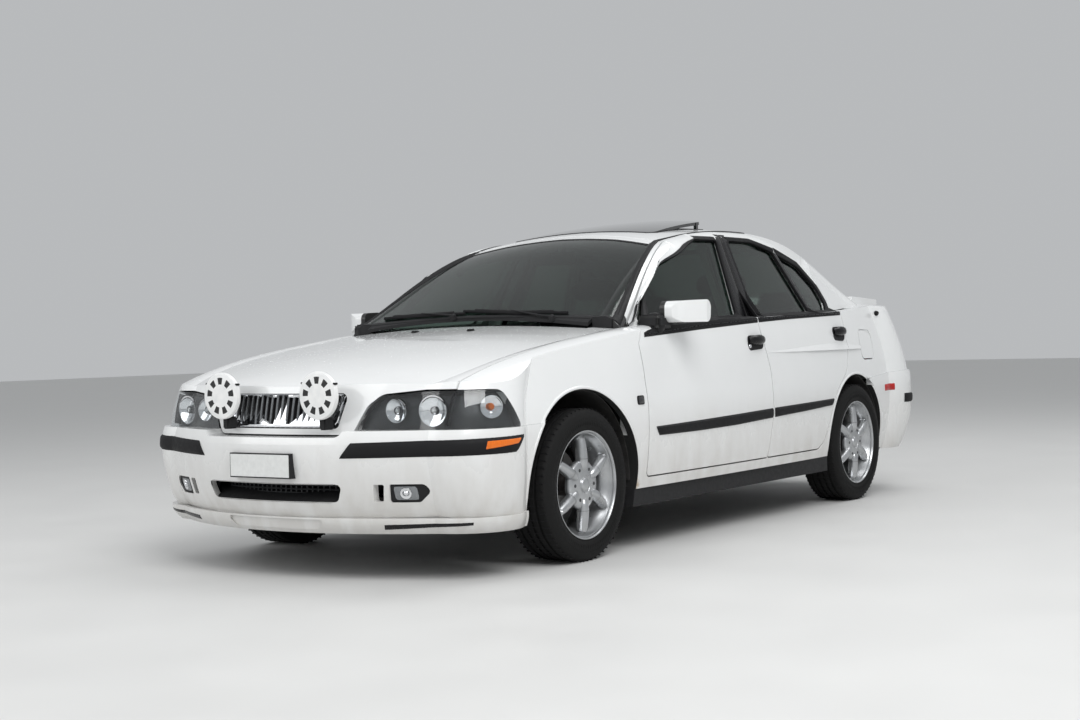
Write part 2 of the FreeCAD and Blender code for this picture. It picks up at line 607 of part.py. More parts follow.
back_wall = side_prism(((-1232, 520 + SEAT), (-1190, 520 + SEAT), (-1262, 956), (-1304, 956)), -540, 540)
side_walls = both(box(-2100, -1210, 541, 552, 520 + SEAT, 640).cut(rear_arch(8, 500)))
link = both(box(-2120, -2060, 500, 552, 520 + SEAT, 640)).common(lower_form(SKIN + SEAT))
keep("rear_structure", tail_panel.fuse([stops, back_wall, shelf_panel, side_walls, link]))
firewall = box(935 + SEAT, 960, -SIDE, SIDE, TOP + SEAT, 820).cut(wheel_space)
cowl_tray = box(880, 960, -600, 600, 820, 850)
keep("firewall", firewall.fuse(cowl_tray))

START, STRUT, KINGPIN = 960 + SEAT, s("strut_y"), s("kingpin")
strut_space = cylinder(72, V(FRONT, STRUT, 500), V(FRONT, STRUT, 745))
apron = box(START, 1990, 440, 468, 400, 700)
apron_top = lower_form(SKIN + SEAT).common(box(START, 1990, 440, DOOR_PLANE - SEAT, 672, 700))
tower = cylinder(86, V(FRONT, STRUT, 672), V(FRONT, STRUT, 760))
rail_bar = box(START, 2040, 380, 440, 330, 430)
bonnet_stop = box(1880, 1920, 580, 620, 690, 850).common(lower_form(SKIN + SEAT))
bay = apron.fuse([apron_top, tower, rail_bar, bonnet_stop]).cut(strut_space).cut(front_arch(0, 468.5))
keep("inner_wings", both(bay))
panel_front = box(1990 + SEAT, 2020, -500, 500, 430 + SEAT, 540)
keep("front_panel", panel_front.fuse(box(1990 + SEAT, 2020, -300, 300, 380, 540)))


# Wheel-arch liners
def liner(space, hollow_space, x, low, y1):
    shell = space.cut(hollow_space)
    wall = box(x - 500, x + 500, 300, 620, 0, low)
    return shell.common(box(x - 500, x + 500, 300, y1, 285, 900)).cut(wall)


front_liner = liner(front_arch(-SEAT, 470), front_arch(-5, 475), FRONT, 440, 800).cut(strut_space)
rear_liner = liner(rear_arch(-SEAT, 554), rear_arch(-5, 559), REAR, 400, 800)
keep("arch_liners", both(Part.makeCompound([front_liner, rear_liner])))

# Wheels
TRACK, RIM, WIDE = s("half_track"), s("rim_radius"), s("rim_width") / 2


def spun(points, x, y):
    """A closed (radius, offset) outline turned about a wheel's axis."""
    wire = ring(points, lambda r, w: V(x, y + w, AXLE + r))
    return Part.Face(wire).revolve(V(x, y, AXLE), V(0, 1, 0), 360)


def wheel(x, side):
    half = s("tyre_width") / 2
    tyre = spun((
        (206, -WIDE + 6), (216, -WIDE + 2), (250, -half, 40), (AXLE, -half + 8, 22), (AXLE, half - 8, 22),
        (250, half, 40), (216, WIDE - 2), (206, WIDE - 6), (206, WIDE - 14), (270, half - 22, 15),
        (270, -half + 22, 15), (206, -WIDE + 14),
    ), x, TRACK)
    rim = spun((
        (RIM, WIDE), (RIM, WIDE - 3.2), (205.7, WIDE - 5.6), (205.7, WIDE - 24), (188, WIDE - 40), (172, 10),
        (188, -WIDE + 30), (205.7, -WIDE + 22), (205.7, -WIDE + 5.6), (RIM, -WIDE + 3.2), (RIM, -WIDE), (200, -WIDE),
        (180, -WIDE + 24), (164, 0), (170, WIDE - 50), (186, WIDE - 34), (200, WIDE - 10), (204, WIDE),
    ), x, TRACK)
    face = TRACK + WIDE - 26
    hub = cylinder(s("hub_radius"), V(x, face - 30, AXLE), V(x, face + 4, AXLE))
    hub = hub.fuse(cylinder(34, V(x, face, AXLE), V(x, face + 18, AXLE)))
    hub = hub.fuse(cylinder(46, V(x, TRACK - 60, AXLE), V(x, face - 20, AXLE)))
    hub = hub.fuse(cylinder(s("disc_radius"), V(x, TRACK - 70, AXLE), V(x, TRACK - 48, AXLE)))
    spokes = []
    for i in range(6):
        a = math.radians(30 + 60 * i)
        d = V(math.sin(a), 0, math.cos(a))
        start, end = V(x, face - 14, AXLE) + d * 40, V(x, face, AXLE) + d * 196
        spokes.append(cylinder(s("spoke_radius"), start, end))
    disc = rim.fuse([hub] + spokes)
    disc = disc.cut(cylinder(s("bore_radius"), V(x, TRACK - 80, AXLE), V(x, TRACK + 20, AXLE)))
    if side < 0:
        return mirrored(tyre), mirrored(disc)
    return tyre, disc


for end, x in (("front", FRONT), ("rear", REAR)):
    for side_name, sign in (("left", 1), ("right", -1)):
        tyre, disc = wheel(x, sign)
        keep(f"tyre_{end}_{side_name}", tyre)
        keep(f"wheel_{end}_{side_name}", disc)

# Knuckles, subframe and axles
run = s("bore_radius") - s("seat_gap")


def knuckle(x):
    spindle = cylinder(run, V(x, TRACK - 120, AXLE), V(x, TRACK + 14, AXLE))
    upright = box(x - 55, x + 55, TRACK - 140, TRACK - 84, AXLE - 90, AXLE + 110)
    caliper = box(x + 85, x + 145, TRACK - 110, TRACK - 28, AXLE - 50, AXLE + 60)
    caliper = caliper.cut(cylinder(s("disc_radius") + 8, V(x, TRACK - 78, AXLE), V(x, TRACK - 40, AXLE)))
    bridge = box(x + 40, x + 120, TRACK - 118, TRACK - 90, AXLE - 30, AXLE + 30)
    pin_hole = cylinder(s("ball_pin") + SEAT, V(x, KINGPIN, AXLE - 100), V(x, KINGPIN, AXLE - 70))
    return spindle.fuse([upright, caliper, bridge]).cut(pin_hole)


keep("knuckle_left", knuckle(FRONT))
keep("knuckle_right", mirrored(knuckle(FRONT)))
arm = plan_prism((
    (FRONT + 14, 657, 13), (FRONT - 14, 657, 13), (FRONT - 260, 330), (FRONT - 200, 300), (FRONT - 20, 500, 40),
    (FRONT + 60, 330), (FRONT + 120, 330)), 180, 200)
arm = arm.fuse(cylinder(s("ball_pin"), V(FRONT, KINGPIN, 190), V(FRONT, KINGPIN, AXLE - 72)))
arm = arm.fuse(box(FRONT - 24, FRONT + 24, 490, 600, 180, 200))
cross = box(FRONT - 280, FRONT + 140, -340, 340, 190, 230)
cross = cross.fuse(both(box(FRONT - 60, FRONT + 60, 300, 440, 200, 240)))
cross = cross.fuse(both(box(FRONT - 60, FRONT + 60, 385, 435, 230, 330 - SEAT)))
mounts = both(box(FRONT - 60, FRONT, 200, 260, 225, 300 - SEAT))
keep("front_subframe", cross.fuse([both(arm), mounts]))
strut = cylinder(18, V(FRONT, STRUT, 200 + SEAT), V(FRONT, STRUT, 745 - SEAT))
strut = strut.fuse(cylinder(56, V(FRONT, STRUT, 610), V(FRONT, STRUT, 625)))
keep("front_struts", both(strut))
beam = cylinder(30, V(REAR, -TRACK + 130, AXLE), V(REAR, TRACK - 130, AXLE))
stub = both(cylinder(run, V(REAR, TRACK - 150, AXLE), V(REAR, TRACK + 14, AXLE)))
hubs = both(box(REAR - 50, REAR + 50, TRACK - 140, TRACK - 84, AXLE - 60, AXLE + 70))
links = both(cylinder(16, V(REAR, 480, AXLE), V(-1196, 480, 262)).fuse(box(-1206, -1180 - SEAT, 462, 498, 236, 286)))
posts = both(cylinder(22, V(REAR, 480, AXLE), V(REAR, 480, 490 - SEAT)))
keep("rear_axle", beam.fuse([stub, hubs, links, posts]))

# Engine, exhaust and tank
keep("engine_block", box(1130, 1500, -370, 370, 300, 720))
keep("radiator", box(1930, 1990, -320, 320, 330, 600))
silencer = cylinder(85, V(-1700, -520, 255), V(-1700, -130, 255))
tail_pipe = cylinder(22, V(-1700, -480, 200), V(-2200, -480, 200))
front_pipe = cylinder(24, V(-1560, 0, 196), V(1020, 0, 196))
link_pipe = cylinder(24, V(-1560, 10, 196), V(-1700, -200, 230))
hanger = box(-1710, -1690, -420, -400, 330, 490 - SEAT)
keep("exhaust", silencer.fuse([tail_pipe, front_pipe, link_pipe, hanger]))
keep("fuel_tank", box(-1140, -780, -540, -120, 120, 210 - SEAT))

# Seats, dashboard and steering wheel
def front_seat(y):
    cushion = side_prism(((80, 330, 30), (90, 500, 60), (-420, 440, 60), (-420, 330, 20)), y - 250, y + 250)
    back = side_prism(((-360, 420, 40), (-560, 1010, 50), (-670, 1010, 50), (-520, 400, 40)), y - 245, y + 245)
    head = side_prism(((-600, 1060, 30), (-615, 1180, 30), (-700, 1180, 30), (-690, 1060, 30)), y - 135, y + 135)
    posts = cylinder(8, V(-640, y - 60, 990), V(-650, y - 60, 1080)).fuse(cylinder(8, V(-640, y + 60, 990), V(-650, y + 60, 1080)))
    rails = box(-380, 40, y - 200, y - 160, TOP + SEAT, 340).fuse(box(-380, 40, y + 160, y + 200, TOP + SEAT, 340))
    return cushion.fuse([back, head, posts, rails])


keep("front_seats", both(front_seat(375)))
UNDER = TOP + 120 + SEAT
bench = side_prism(((-700, UNDER, 20), (-690, 520, 60), (-1140, 470, 40), (-1149, UNDER)), -640, 640)
bench_back = side_prism(((-1080, 460, 60), (-1215, 1000, 40), (-1262, 1000), (-1180, 521), (-1149, 521), (-1149, 460)), -640, 640)
bench, bench_back = bench.cut(wheel_space), bench_back.cut(wheel_space).cut(back_wall)
head = side_prism(((-1225, 985, 30), (-1240, 1090, 30), (-1310, 1090, 30), (-1300, 985, 30)), -110, 110)
heads = [head.translated(V(0, y, 0)) for y in (-380, 0, 380)]
keep("rear_seat", bench.fuse([bench_back] + heads))
DASH = ((935, 500), (935, 819), (879, 819), (879, 925), (560, 930, 60), (520, 700, 60), (640, 500, 60))
dash = side_prism(DASH, -635, 635).common(house_inner.fuse(inner))
grip_at, rake = V(440, 375, 800), V(-0.86, 0, 0.51)
grip = Part.makeTorus(s("wheel_grip"), 15, grip_at, rake)
boss = cylinder(55, grip_at - rake * 40, grip_at + rake * 6)
spoke = box(-14, 14, -s("wheel_grip"), s("wheel_grip"), -10, 6)
spoke.rotate(V(0, 0, 0), V(0, 1, 0), -59.3)
spoke.translate(grip_at)
column = cylinder(18, grip_at - rake * 30, grip_at - rake * 190)
keep("steering_wheel", grip.fuse([boss, spoke, column]))
keep("dashboard", dash.cut(cylinder(18 + SEAT, grip_at, grip_at - rake * 195)))

# Grille, driving lamps, plates, mirrors, trims
bar_layer = lower_form(6).cut(lower_form(24))
mouth = front_prism(mirror_points(GRILLE_FRONT), 2000, 2300, -s("seat_gap"))
frame = bar_layer.common(mouth)
n = int(s("slats"))
WIDTH = 300
pitch = 2 * WIDTH / n
windows = [box(2000, 2300, -WIDTH + pitch * i + 6, -WIDTH + pitch * (i + 1) - 6, 572, 676) for i in range(n)]
keep("grille", frame.cut(Part.makeCompound(windows)))
grown = lower_form(-SEAT)
lamps = []
for y in (-s("lamp_y"), s("lamp_y")):
    rim, height = 2188, s("lamp_height")
    body = cylinder(s("lamp_radius"), V(rim, y, height), V(2205, y, height))
    bowl = Part.makeCone(s("lamp_radius"), 58, 34, V(rim, y, height), V(-1, 0, 0))
    foot = box(2100, 2186, y - 16, y + 16, 558, 640)
    lamps.append(body.fuse([bowl, foot]).cut(grown))
keep("driving_lamps", Part.makeCompound(lamps))
half = s("plate_width") / 2
plate = box(NOSE - 30, NOSE, -half, half, 381, 381 + s("plate_height")).cut(bumper_form(-SEAT))
keep("front_plate", plate)
mirror = side_prism(((700, 925, 30), (700, 1015, 30), (565, 1020, 35), (575, 925, 30)), 812, 985)
mirror = mirror.common(plan_prism(((720, 800), (690, 905, 60), (600, 990, 50), (560, 990, 20), (560, 800)), 900, 1100))
stalk = box(640, 752, 740, 830, 904, 955)
mirror = mirror.fuse(stalk).cut(house).cut(outer)
keep("mirror_left", mirror)
keep("mirror_right", mirrored(mirror))
trim = box(-895, 1000, 700, 822, s("trim_low"), s("sill_low") - SEAT).cut(arches)
keep("sill_trims", both(trim))
spoiler = side_prism(((-1830, 1000), (-1830, 1066, 20), (-2170, 1050, 10), (-2180, 950)), -560, 560)
keep("boot_spoiler", spoiler.cut(outer), 100000)

doc.recompute()
os.makedirs("parts", exist_ok=True)
for old in os.listdir("parts"):
    if old.endswith(".step"):
        os.remove(os.path.join("parts", old))
bad = [o.Label for o in doc.Objects if {"Invalid", "Error"} & set(o.State)]
bad += [n for n, o in made.items() if o.Shape.isNull() or not o.Shape.isValid()]
if bad:
    sys.exit(f"failed: {bad}")
for name, obj in made.items():
    obj.Shape.exportStep(f"parts/{name}.step")
    print(name, len(obj.Shape.Solids), round(obj.Shape.Volume / 1e6, 2))
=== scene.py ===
import math

import bmesh
import bpy
from mathutils import Matrix, Vector
from mathutils.bvhtree import BVHTree


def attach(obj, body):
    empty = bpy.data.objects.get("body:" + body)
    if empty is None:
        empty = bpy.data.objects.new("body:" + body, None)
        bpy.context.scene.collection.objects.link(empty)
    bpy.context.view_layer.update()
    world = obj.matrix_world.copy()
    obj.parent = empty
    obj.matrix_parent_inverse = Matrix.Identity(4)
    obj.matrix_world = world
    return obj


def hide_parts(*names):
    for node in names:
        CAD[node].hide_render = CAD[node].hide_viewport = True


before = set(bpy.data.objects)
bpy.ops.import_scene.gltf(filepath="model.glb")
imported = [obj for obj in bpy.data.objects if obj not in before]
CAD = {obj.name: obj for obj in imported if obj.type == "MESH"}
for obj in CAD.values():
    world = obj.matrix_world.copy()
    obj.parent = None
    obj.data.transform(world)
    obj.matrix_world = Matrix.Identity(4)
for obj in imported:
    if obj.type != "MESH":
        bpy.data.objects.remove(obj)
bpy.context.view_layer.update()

bl_info = {
    "name": "Saloon car looks",
    "version": (1, 0, 0),
    "blender": (4, 5, 0),
    "location": "View3D > Sidebar > Saloon",
    "description": "Builds the looks of a four-door saloon car round its CAD frame",
    "category": "Object",
}

BODY = ("car_body", "car_body")


def both(*names):
    """The names of the left and right nodes or bodies."""
    return tuple(f"{name}_{side}" for name in names for side in ("left", "right"))


DOORS = {"front": both("door_front"), "rear": both("door_rear")}
# Places that several pieces share, in metres
AXLES = {"front": 1.311, "rear": -1.251}
AXLE_Z = 0.298
WHEEL_Y = 0.736
# Centre and radius of the wheel arches, and the first and last angle of their lips
ARCHES = {"front": (1.321, 0.372, -22, 178), "rear": (-1.251, 0.35, -4, 172)}
# The middle pillar: its foot, its head and how far it leans back with each metre
PILLAR_FOOT, PILLAR_HEAD, PILLAR_LEAN = 0.95, 1.345, 0.192
LAMP_Y, LAMP_Z = 0.247, 0.683
STAIN_X, STAIN_Z = 0.948, 0.268
DOOR_CARD_Y = 0.7352
BUMPER_SEAM_Z = 0.5539
SMOOTH_DEGREES = 38
# Depth and width of a seam's dent in a cushion
DENT_DEPTH, DENT_WIDTH = 0.014, 0.006
# The photograph's camera: its place, its lens in mm, and its yaw, pitch and roll in degrees
CAMERA_AT, CAMERA_LENS, CAMERA_TURN = (6.63349, 4.3026, 0.86108), 54.517, (214.68885, -0.66025, -1.46194)


# Materials

class Nodes:
    """A small writer for one material's node tree."""

    def __init__(self, name):
        self.mat = bpy.data.materials.new(name)
        self.mat.use_nodes = True
        self.tree = self.mat.node_tree
        self.shader = self.tree.nodes["Principled BSDF"]

    def add(self, kind, **values):
        node = self.tree.nodes.new("ShaderNode" + kind)
        for key, value in values.items():
            if hasattr(node, key) and key not in node.inputs:
                setattr(node, key, value)
            else:
                node.inputs[key].default_value = value
        return node

    def link(self, out, to):
        self.tree.links.new(out, to)

    def place(self, scale=(1, 1, 1)):
        mapping = self.add("Mapping")
        mapping.inputs["Scale"].default_value = scale
        self.link(self.add("TexCoord").outputs["Object"], mapping.inputs["Vector"])
        return mapping.outputs["Vector"]

    def noise(self, scale, detail=4.0, stretch=(1, 1, 1), rough=0.5):
        node = self.add("TexNoise", Scale=scale, Detail=detail, Roughness=rough)
        self.link(self.place(stretch), node.inputs["Vector"])
        return node.outputs["Fac"]

    def ramp(self, value, stops):
        node = self.add("ValToRGB")
        elements = node.color_ramp.elements
        while len(elements) < len(stops):
            elements.new(0.5)
        for element, (at, color) in zip(elements, stops):
            element.position = at
            element.color = (*color, 1) if len(color) == 3 else (color[0],) * 3 + (1,)
        self.link(value, node.inputs["Fac"])
        return node.outputs["Color"]

    def mix(self, fac, a, b):
        node = self.add("Mix", data_type="RGBA")
        for source, socket in ((fac, node.inputs[0]), (a, node.inputs[6]), (b, node.inputs[7])):
            if isinstance(source, bpy.types.NodeSocket):
                self.link(source, socket)
            elif socket == node.inputs[0]:
                socket.default_value = source
            else:
                socket.default_value = (*source, 1)
        return node.outputs[2]

    def plus(self, a, b):
        return self.math("ADD", a, b)

    def minus(self, a, b):
        return self.math("SUBTRACT", a, b)

    def times(self, a, b):
        return self.math("MULTIPLY", a, b)

    def below(self, a, b):
        return self.math("LESS_THAN", a, b)

    def inside(self, value, low, high):
        """1 where a value lies between two bounds."""
        return self.times(self.math("GREATER_THAN", value, low), self.below(value, high))

    def length(self, a, b):
        return self.math("SQRT", self.plus(self.times(a, a), self.times(b, b)))

    def math(self, operation, a, b=0.0):
        node = self.add("Math", operation=operation)
        for i, value in enumerate((a, b)):
            if isinstance(value, bpy.types.NodeSocket):
                self.link(value, node.inputs[i])
            else:
                node.inputs[i].default_value = value
        return node.outputs[0]

    def position(self):
        split = self.add("SeparateXYZ")
        self.link(self.add("TexCoord").outputs["Object"], split.inputs[0])
        return split.outputs

    def bump(self, height, strength=0.2, distance=0.001):
        node = self.add("Bump", Strength=strength, Distance=distance)
        self.link(height, node.inputs["Height"])
        self.link(node.outputs["Normal"], self.shader.inputs["Normal"])


def shade(name, color, rough=0.5, metal=0.0, grain=60.0, spread=0.06, bump=0.0, bump_scale=400.0,
          stretch=(1, 1, 1), specular=0.5, coat=0.0):
    """A plain material with slight changes of colour and gloss."""
    n = Nodes(name)
    low = tuple(max(0, c * (1 - spread)) for c in color)
    high = tuple(min(1, c * (1 + spread)) for c in color)
    cloud = n.noise(grain, stretch=stretch)
    n.link(n.ramp(cloud, ((0.3, low), (0.7, high))), n.shader.inputs["Base Color"])
    n.link(n.ramp(cloud, ((0.25, (rough * 0.85,)), (0.75, (min(1, rough * 1.15),)))), n.shader.inputs["Roughness"])
    n.shader.inputs["Metallic"].default_value = metal
    if bump:
        n.bump(n.noise(bump_scale, 3.0, stretch), bump)
    n.shader.inputs["Specular IOR Level"].default_value = specular
    n.shader.inputs["Coat Weight"].default_value = coat
    return n


def paint_material(name, color, dark):
    """White paint with road film low down, faint scratches, a stain by the front wheel, and black where dark() asks:
    trim, and on the body painted shade inside the wheel arches.
    """
    n = Nodes(name)
    x, y, z = n.position()
    wide = n.math("ABSOLUTE", y)
    cloud = n.noise(3.0, 6.0)
    cloudy = n.ramp(cloud, ((0.3, tuple(c * 0.97 for c in color)), (0.7, color)))
    low = n.times(n.minus(0.62, z), 1.9)
    film = n.times(low, n.noise(14.0, 6.0, (1, 1, 0.35)))
    film = n.math("MINIMUM", n.math("MAXIMUM", film, 0.0), 0.42)
    dirty = n.mix(film, cloudy, (0.38, 0.34, 0.29))
    scratch = n.ramp(n.noise(9.0, 2.0, (0.6, 0.6, 40)), ((0.695, (0,)), (0.71, (1,)), (0.72, (0,))))
    scratched = n.mix(n.times(scratch, 0.16), dirty, (0.5, 0.5, 0.5))
    near = n.plus(n.math("ABSOLUTE", n.minus(x, STAIN_X)), n.math("ABSOLUTE", n.minus(z, STAIN_Z)))
    spot = n.ramp(n.plus(near, n.times(n.noise(60.0), 0.05)), ((0.035, (0.8,)), (0.058, (0,))))
    rust = n.ramp(n.noise(160.0), ((0.35, (0.22, 0.12, 0.05)), (0.65, (0.52, 0.4, 0.24))))
    worn = n.mix(spot, scratched, rust)
    # Black where dark() asks; on the body part of this is painted shade inside the wheel arches
    black = dark(n, x, wide, z)
    n.link(n.mix(black, worn, (0.01, 0.01, 0.01)), n.shader.inputs["Base Color"])
    n.link(n.plus(n.plus(n.times(film, 0.7), 0.16), n.times(black, 0.6)), n.shader.inputs["Roughness"])
    n.shader.inputs["Coat Weight"].default_value = 0.6
    n.shader.inputs["Coat Roughness"].default_value = 0.04
    n.bump(n.noise(90.0, 2.0), 0.015)
    return n.mat


def trim_black_and_arch_shade(n, x, wide, z):
    """Black for the corners of the cowl and the middle pillar, which are black trim, and inside the wheel arches,
    which is partly their dark underseal and partly painted shade, reaching further in on the inner faces.
    """
    parts = []
    # Inside the arches the paint is black to a little past the lips, and further on the inner faces: painted shade,
    # with some dark underseal
    for end, more in (("front", 0.12), ("rear", 0.05)):
        centre, radius, _, _ = ARCHES[end]
        dx, dz = n.minus(x, centre), n.minus(z, AXLE_Z)
        away = n.length(dx, dz)
        deep = n.times(n.below(wide, 0.785), more)
        parts.append(n.below(away, n.plus(deep, radius + 0.0015)))
    corner = n.times(n.inside(x, 0.8, 0.899), n.inside(z, 0.905, 1.05))
    parts.append(n.times(corner, n.inside(wide, 0.5, 0.727)))
    lean = n.plus(n.times(n.minus(z, PILLAR_FOOT), PILLAR_LEAN), x)
    parts.append(n.times(n.inside(lean, -0.2, -0.16), n.inside(z, PILLAR_FOOT, PILLAR_HEAD)))
    whole = parts[0]
    for part in parts[1:]:
        whole = n.math("MAXIMUM", whole, part)
    return whole


def mirror_dark(n, x, wide, z):
    """The arm between the door and the mirror's housing."""
    return n.below(wide, 0.836)


def glass_material(name, color, rough=0.02):
    """Clear or tinted glass with faint smears. On the windows the dark colour is partly tint and partly painted shade
    of the dim cabin behind.
    """
    n = shade(name, color, rough, grain=20.0, spread=0.05)
    n.shader.inputs["Transmission Weight"].default_value = 1.0
    n.shader.inputs["IOR"].default_value = 1.45
    smear = n.ramp(n.noise(7.0, 6.0, (1, 1, 3)), ((0.4, (rough,)), (0.75, (rough + 0.07,))))
    n.link(smear, n.shader.inputs["Roughness"])
    return n.mat


def fabric_material(name, color):
    """A cloth with a fine weave."""
    n = Nodes(name)
    threads = []
    for way in "XZ":
        wave = n.add("TexWave", Scale=260.0, Distortion=1.5, Detail=2.0, bands_direction=way)
        n.link(n.place(), wave.inputs["Vector"])
        threads.append(wave.outputs["Fac"])
    weave = n.times(*threads)
    low = tuple(c * 0.7 for c in color)
    n.link(n.ramp(weave, ((0.1, low), (0.8, color))), n.shader.inputs["Base Color"])
    n.shader.inputs["Roughness"].default_value = 0.95
    n.bump(weave, 0.4)
    return n.mat


def lamp_cover_material():
    """White cover with a ring of black blocks."""
    n = Nodes("lamp_cover_print")
    _, y, z = n.position()
    across = n.minus(n.math("ABSOLUTE", y), LAMP_Y)
    up = n.minus(z, LAMP_Z)
    radius = n.length(across, up)
    turn = n.math("SINE", n.times(n.math("ARCTAN2", up, across), 9.0))
    blocks = n.math("GREATER_THAN", turn, -0.15)
    ring = n.inside(radius, 0.044, 0.07)
    cloud = n.ramp(n.noise(30.0), ((0.3, (0.74, 0.75, 0.75)), (0.7, (0.84, 0.84, 0.83))))
    n.link(n.mix(n.times(ring, blocks), cloud, (0.012, 0.012, 0.013)), n.shader.inputs["Base Color"])
    n.shader.inputs["Roughness"].default_value = 0.3
    n.bump(n.noise(200.0), 0.05)
    return n.mat


MATS = {}


def build_materials(sizes):
    paint = tuple(sizes.paint)
    MATS["paint"] = paint_material("body_paint", paint, trim_black_and_arch_shade)
    MATS["mirror_paint"] = paint_material("mirror_paint", paint, mirror_dark)
    looks = (
        ("black_plastic", (0.018, 0.018, 0.019), 0.55, 0.0, dict(bump=0.25, bump_scale=900.0, specular=0.18)),
        ("rubber", (0.01, 0.01, 0.011), 0.62, 0.0, dict(bump=0.1, specular=0.18)),
        ("black_gloss", (0.006, 0.006, 0.007), 0.28, 0.0, dict(specular=0.3)),
        ("tyre", (0.009, 0.009, 0.009), 0.74, 0.0, dict(bump=0.3, bump_scale=300.0, spread=0.25, specular=0.18)),
        ("underbody", (0.035, 0.034, 0.033), 0.85, 0.1, dict(bump=0.4, spread=0.3, grain=25.0, specular=0.18)),
        ("steel_dark", (0.05, 0.045, 0.04), 0.6, 0.6, dict(bump=0.3, spread=0.35, grain=30.0)),
        ("cast", (0.11, 0.1, 0.095), 0.6, 0.8, dict(bump=0.5, spread=0.3)),
        ("alloy", (0.47, 0.48, 0.49), 0.3, 0.85, dict(bump=0.04, spread=0.08, grain=18.0)),
        ("disc_steel", (0.3, 0.29, 0.28), 0.35, 1.0, dict(stretch=(8, 8, 8), bump=0.1)),
        ("chrome", (0.75, 0.76, 0.78), 0.08, 1.0, dict(spread=0.03)),
        ("mirror_glass", (0.7, 0.72, 0.74), 0.03, 1.0, dict(spread=0.02)),
        ("plate_white", (0.68, 0.69, 0.68), 0.35, 0.0, dict(spread=0.05)),
        ("dash", (0.022, 0.022, 0.024), 0.7, 0.0, dict(bump=0.4, bump_scale=500.0, specular=0.18)),
        ("bezel", (0.045, 0.047, 0.05), 0.35, 0.3, dict()),
        ("bar", (0.3, 0.31, 0.32), 0.22, 0.9, dict()),
        ("fog_glass", (0.24, 0.25, 0.26), 0.12, 0.6, dict(bump=0.5, bump_scale=120.0, stretch=(1, 8, 1))),
        ("smoke_lens", (0.045, 0.045, 0.048), 0.16, 0.2, dict(bump=0.3, bump_scale=200.0)),
        ("amber", (0.75, 0.16, 0.01), 0.22, 0.0, dict(bump=0.3, bump_scale=200.0, stretch=(4, 4, 0.5))),
        ("red_lens", (0.42, 0.008, 0.006), 0.18, 0.0, dict(bump=0.3, bump_scale=200.0, stretch=(1, 1, 6))),
        ("clear_lens", (0.62, 0.64, 0.65), 0.2, 0.2, dict(bump=0.4, bump_scale=160.0, stretch=(1, 6, 1))),
        ("floor", (0.64, 0.64, 0.63), 0.55, 0.0, dict(grain=2.0, spread=0.015)),
    )
    for name, color, rough, metal, more in looks:
        MATS[name] = shade(name, color, rough, metal, **more).mat
    # Very dark window glass: partly its tint, partly painted shade standing in for the dim cabin seen through it
    MATS["glass"] = glass_material("window_glass", (0.12, 0.17, 0.145))
    MATS["sunroof_glass"] = shade("sunroof_glass", (0.006, 0.006, 0.007), 0.08, grain=20.0, coat=1.0).mat
    MATS["lens"] = glass_material("lamp_lens", (0.93, 0.95, 0.96), 0.01)
    MATS["fabric"] = fabric_material("seat_fabric", (0.03, 0.031, 0.034))
    MATS["lamp_cover"] = lamp_cover_material()


# Building pieces

def new_object(data, name="part"):
    """An object of this data in the scene."""
    obj = bpy.data.objects.new(name, data)
    bpy.context.collection.objects.link(obj)
    return obj


def put(verts, faces, mat, smooth=True):
    """A piece of one material, with its faces turned outwards."""
    mesh = bpy.data.meshes.new("part")
    mesh.from_pydata([tuple(v) for v in verts], [], faces)
    mesh.validate()
    obj = new_object(mesh)
    mesh.materials.append(MATS[mat])
    clean = bmesh.new()
    clean.from_mesh(mesh)
    bmesh.ops.remove_doubles(clean, verts=clean.verts, dist=1e-6)
    bmesh.ops.recalc_face_normals(clean, faces=clean.faces)
    clean.to_mesh(mesh)
    clean.free()
    if smooth:
        mesh.shade_smooth()
        sharp_edges(mesh)
    return obj


def sharp_edges(mesh, degrees=SMOOTH_DEGREES):
    """Marks the edges that smooth shading leaves sharp."""
    edit = bmesh.new()
    edit.from_mesh(mesh)
    limit = math.radians(degrees)
    for edge in edit.edges:
        if len(edge.link_faces) != 2 or edge.calc_face_angle() > limit:
            edge.smooth = False
    edit.to_mesh(mesh)
    edit.free()


def grid(rows, width, round_rows=False, round_width=True, ends=False):
    """Faces between rows of points, with one more face at each end where it is asked for."""
    faces = []
    for i in range(rows if round_rows else rows - 1):
        for j in range(width if round_width else width - 1):
            i2, j2 = (i + 1) % rows, (j + 1) % width
            faces.append((i * width + j, i * width + j2, i2 * width + j2, i2 * width + j))
    if ends:
        faces += [tuple(range(width)), tuple((rows - 1) * width + j for j in range(width))]
    return faces


def flip(mesh):
    """Turns a mesh over to the car's other side."""
    mesh.transform(Matrix.Diagonal((1, -1, 1, 1)))
    mesh.flip_normals()


def mirror_of(obj):
    """A copy on the car's other side."""
    twin = obj.copy()
    twin.data = obj.data.copy()
    bpy.context.collection.objects.link(twin)
    flip(twin.data)
    return twin


def join(name, objs):
    """One named mesh of one or several parts."""
    objs = objs if isinstance(objs, list) else [objs]
    target = objs[0]
    if len(objs) > 1:
        with bpy.context.temp_override(active_object=target, selected_editable_objects=objs):
            bpy.ops.object.join()
    target.name = target.data.name = name
    return target


def ride(obj, body):
    """Lets a piece move with a body."""
    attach(obj, body)
    return obj


def pair(parts, name, bodies):
    """Puts the joined parts on the left body, and their mirror copy on the right one."""
    left = join(name + "_left", parts)
    right = join(name + "_right", mirror_of(left))
    ride(left, bodies[0])
    ride(right, bodies[1])


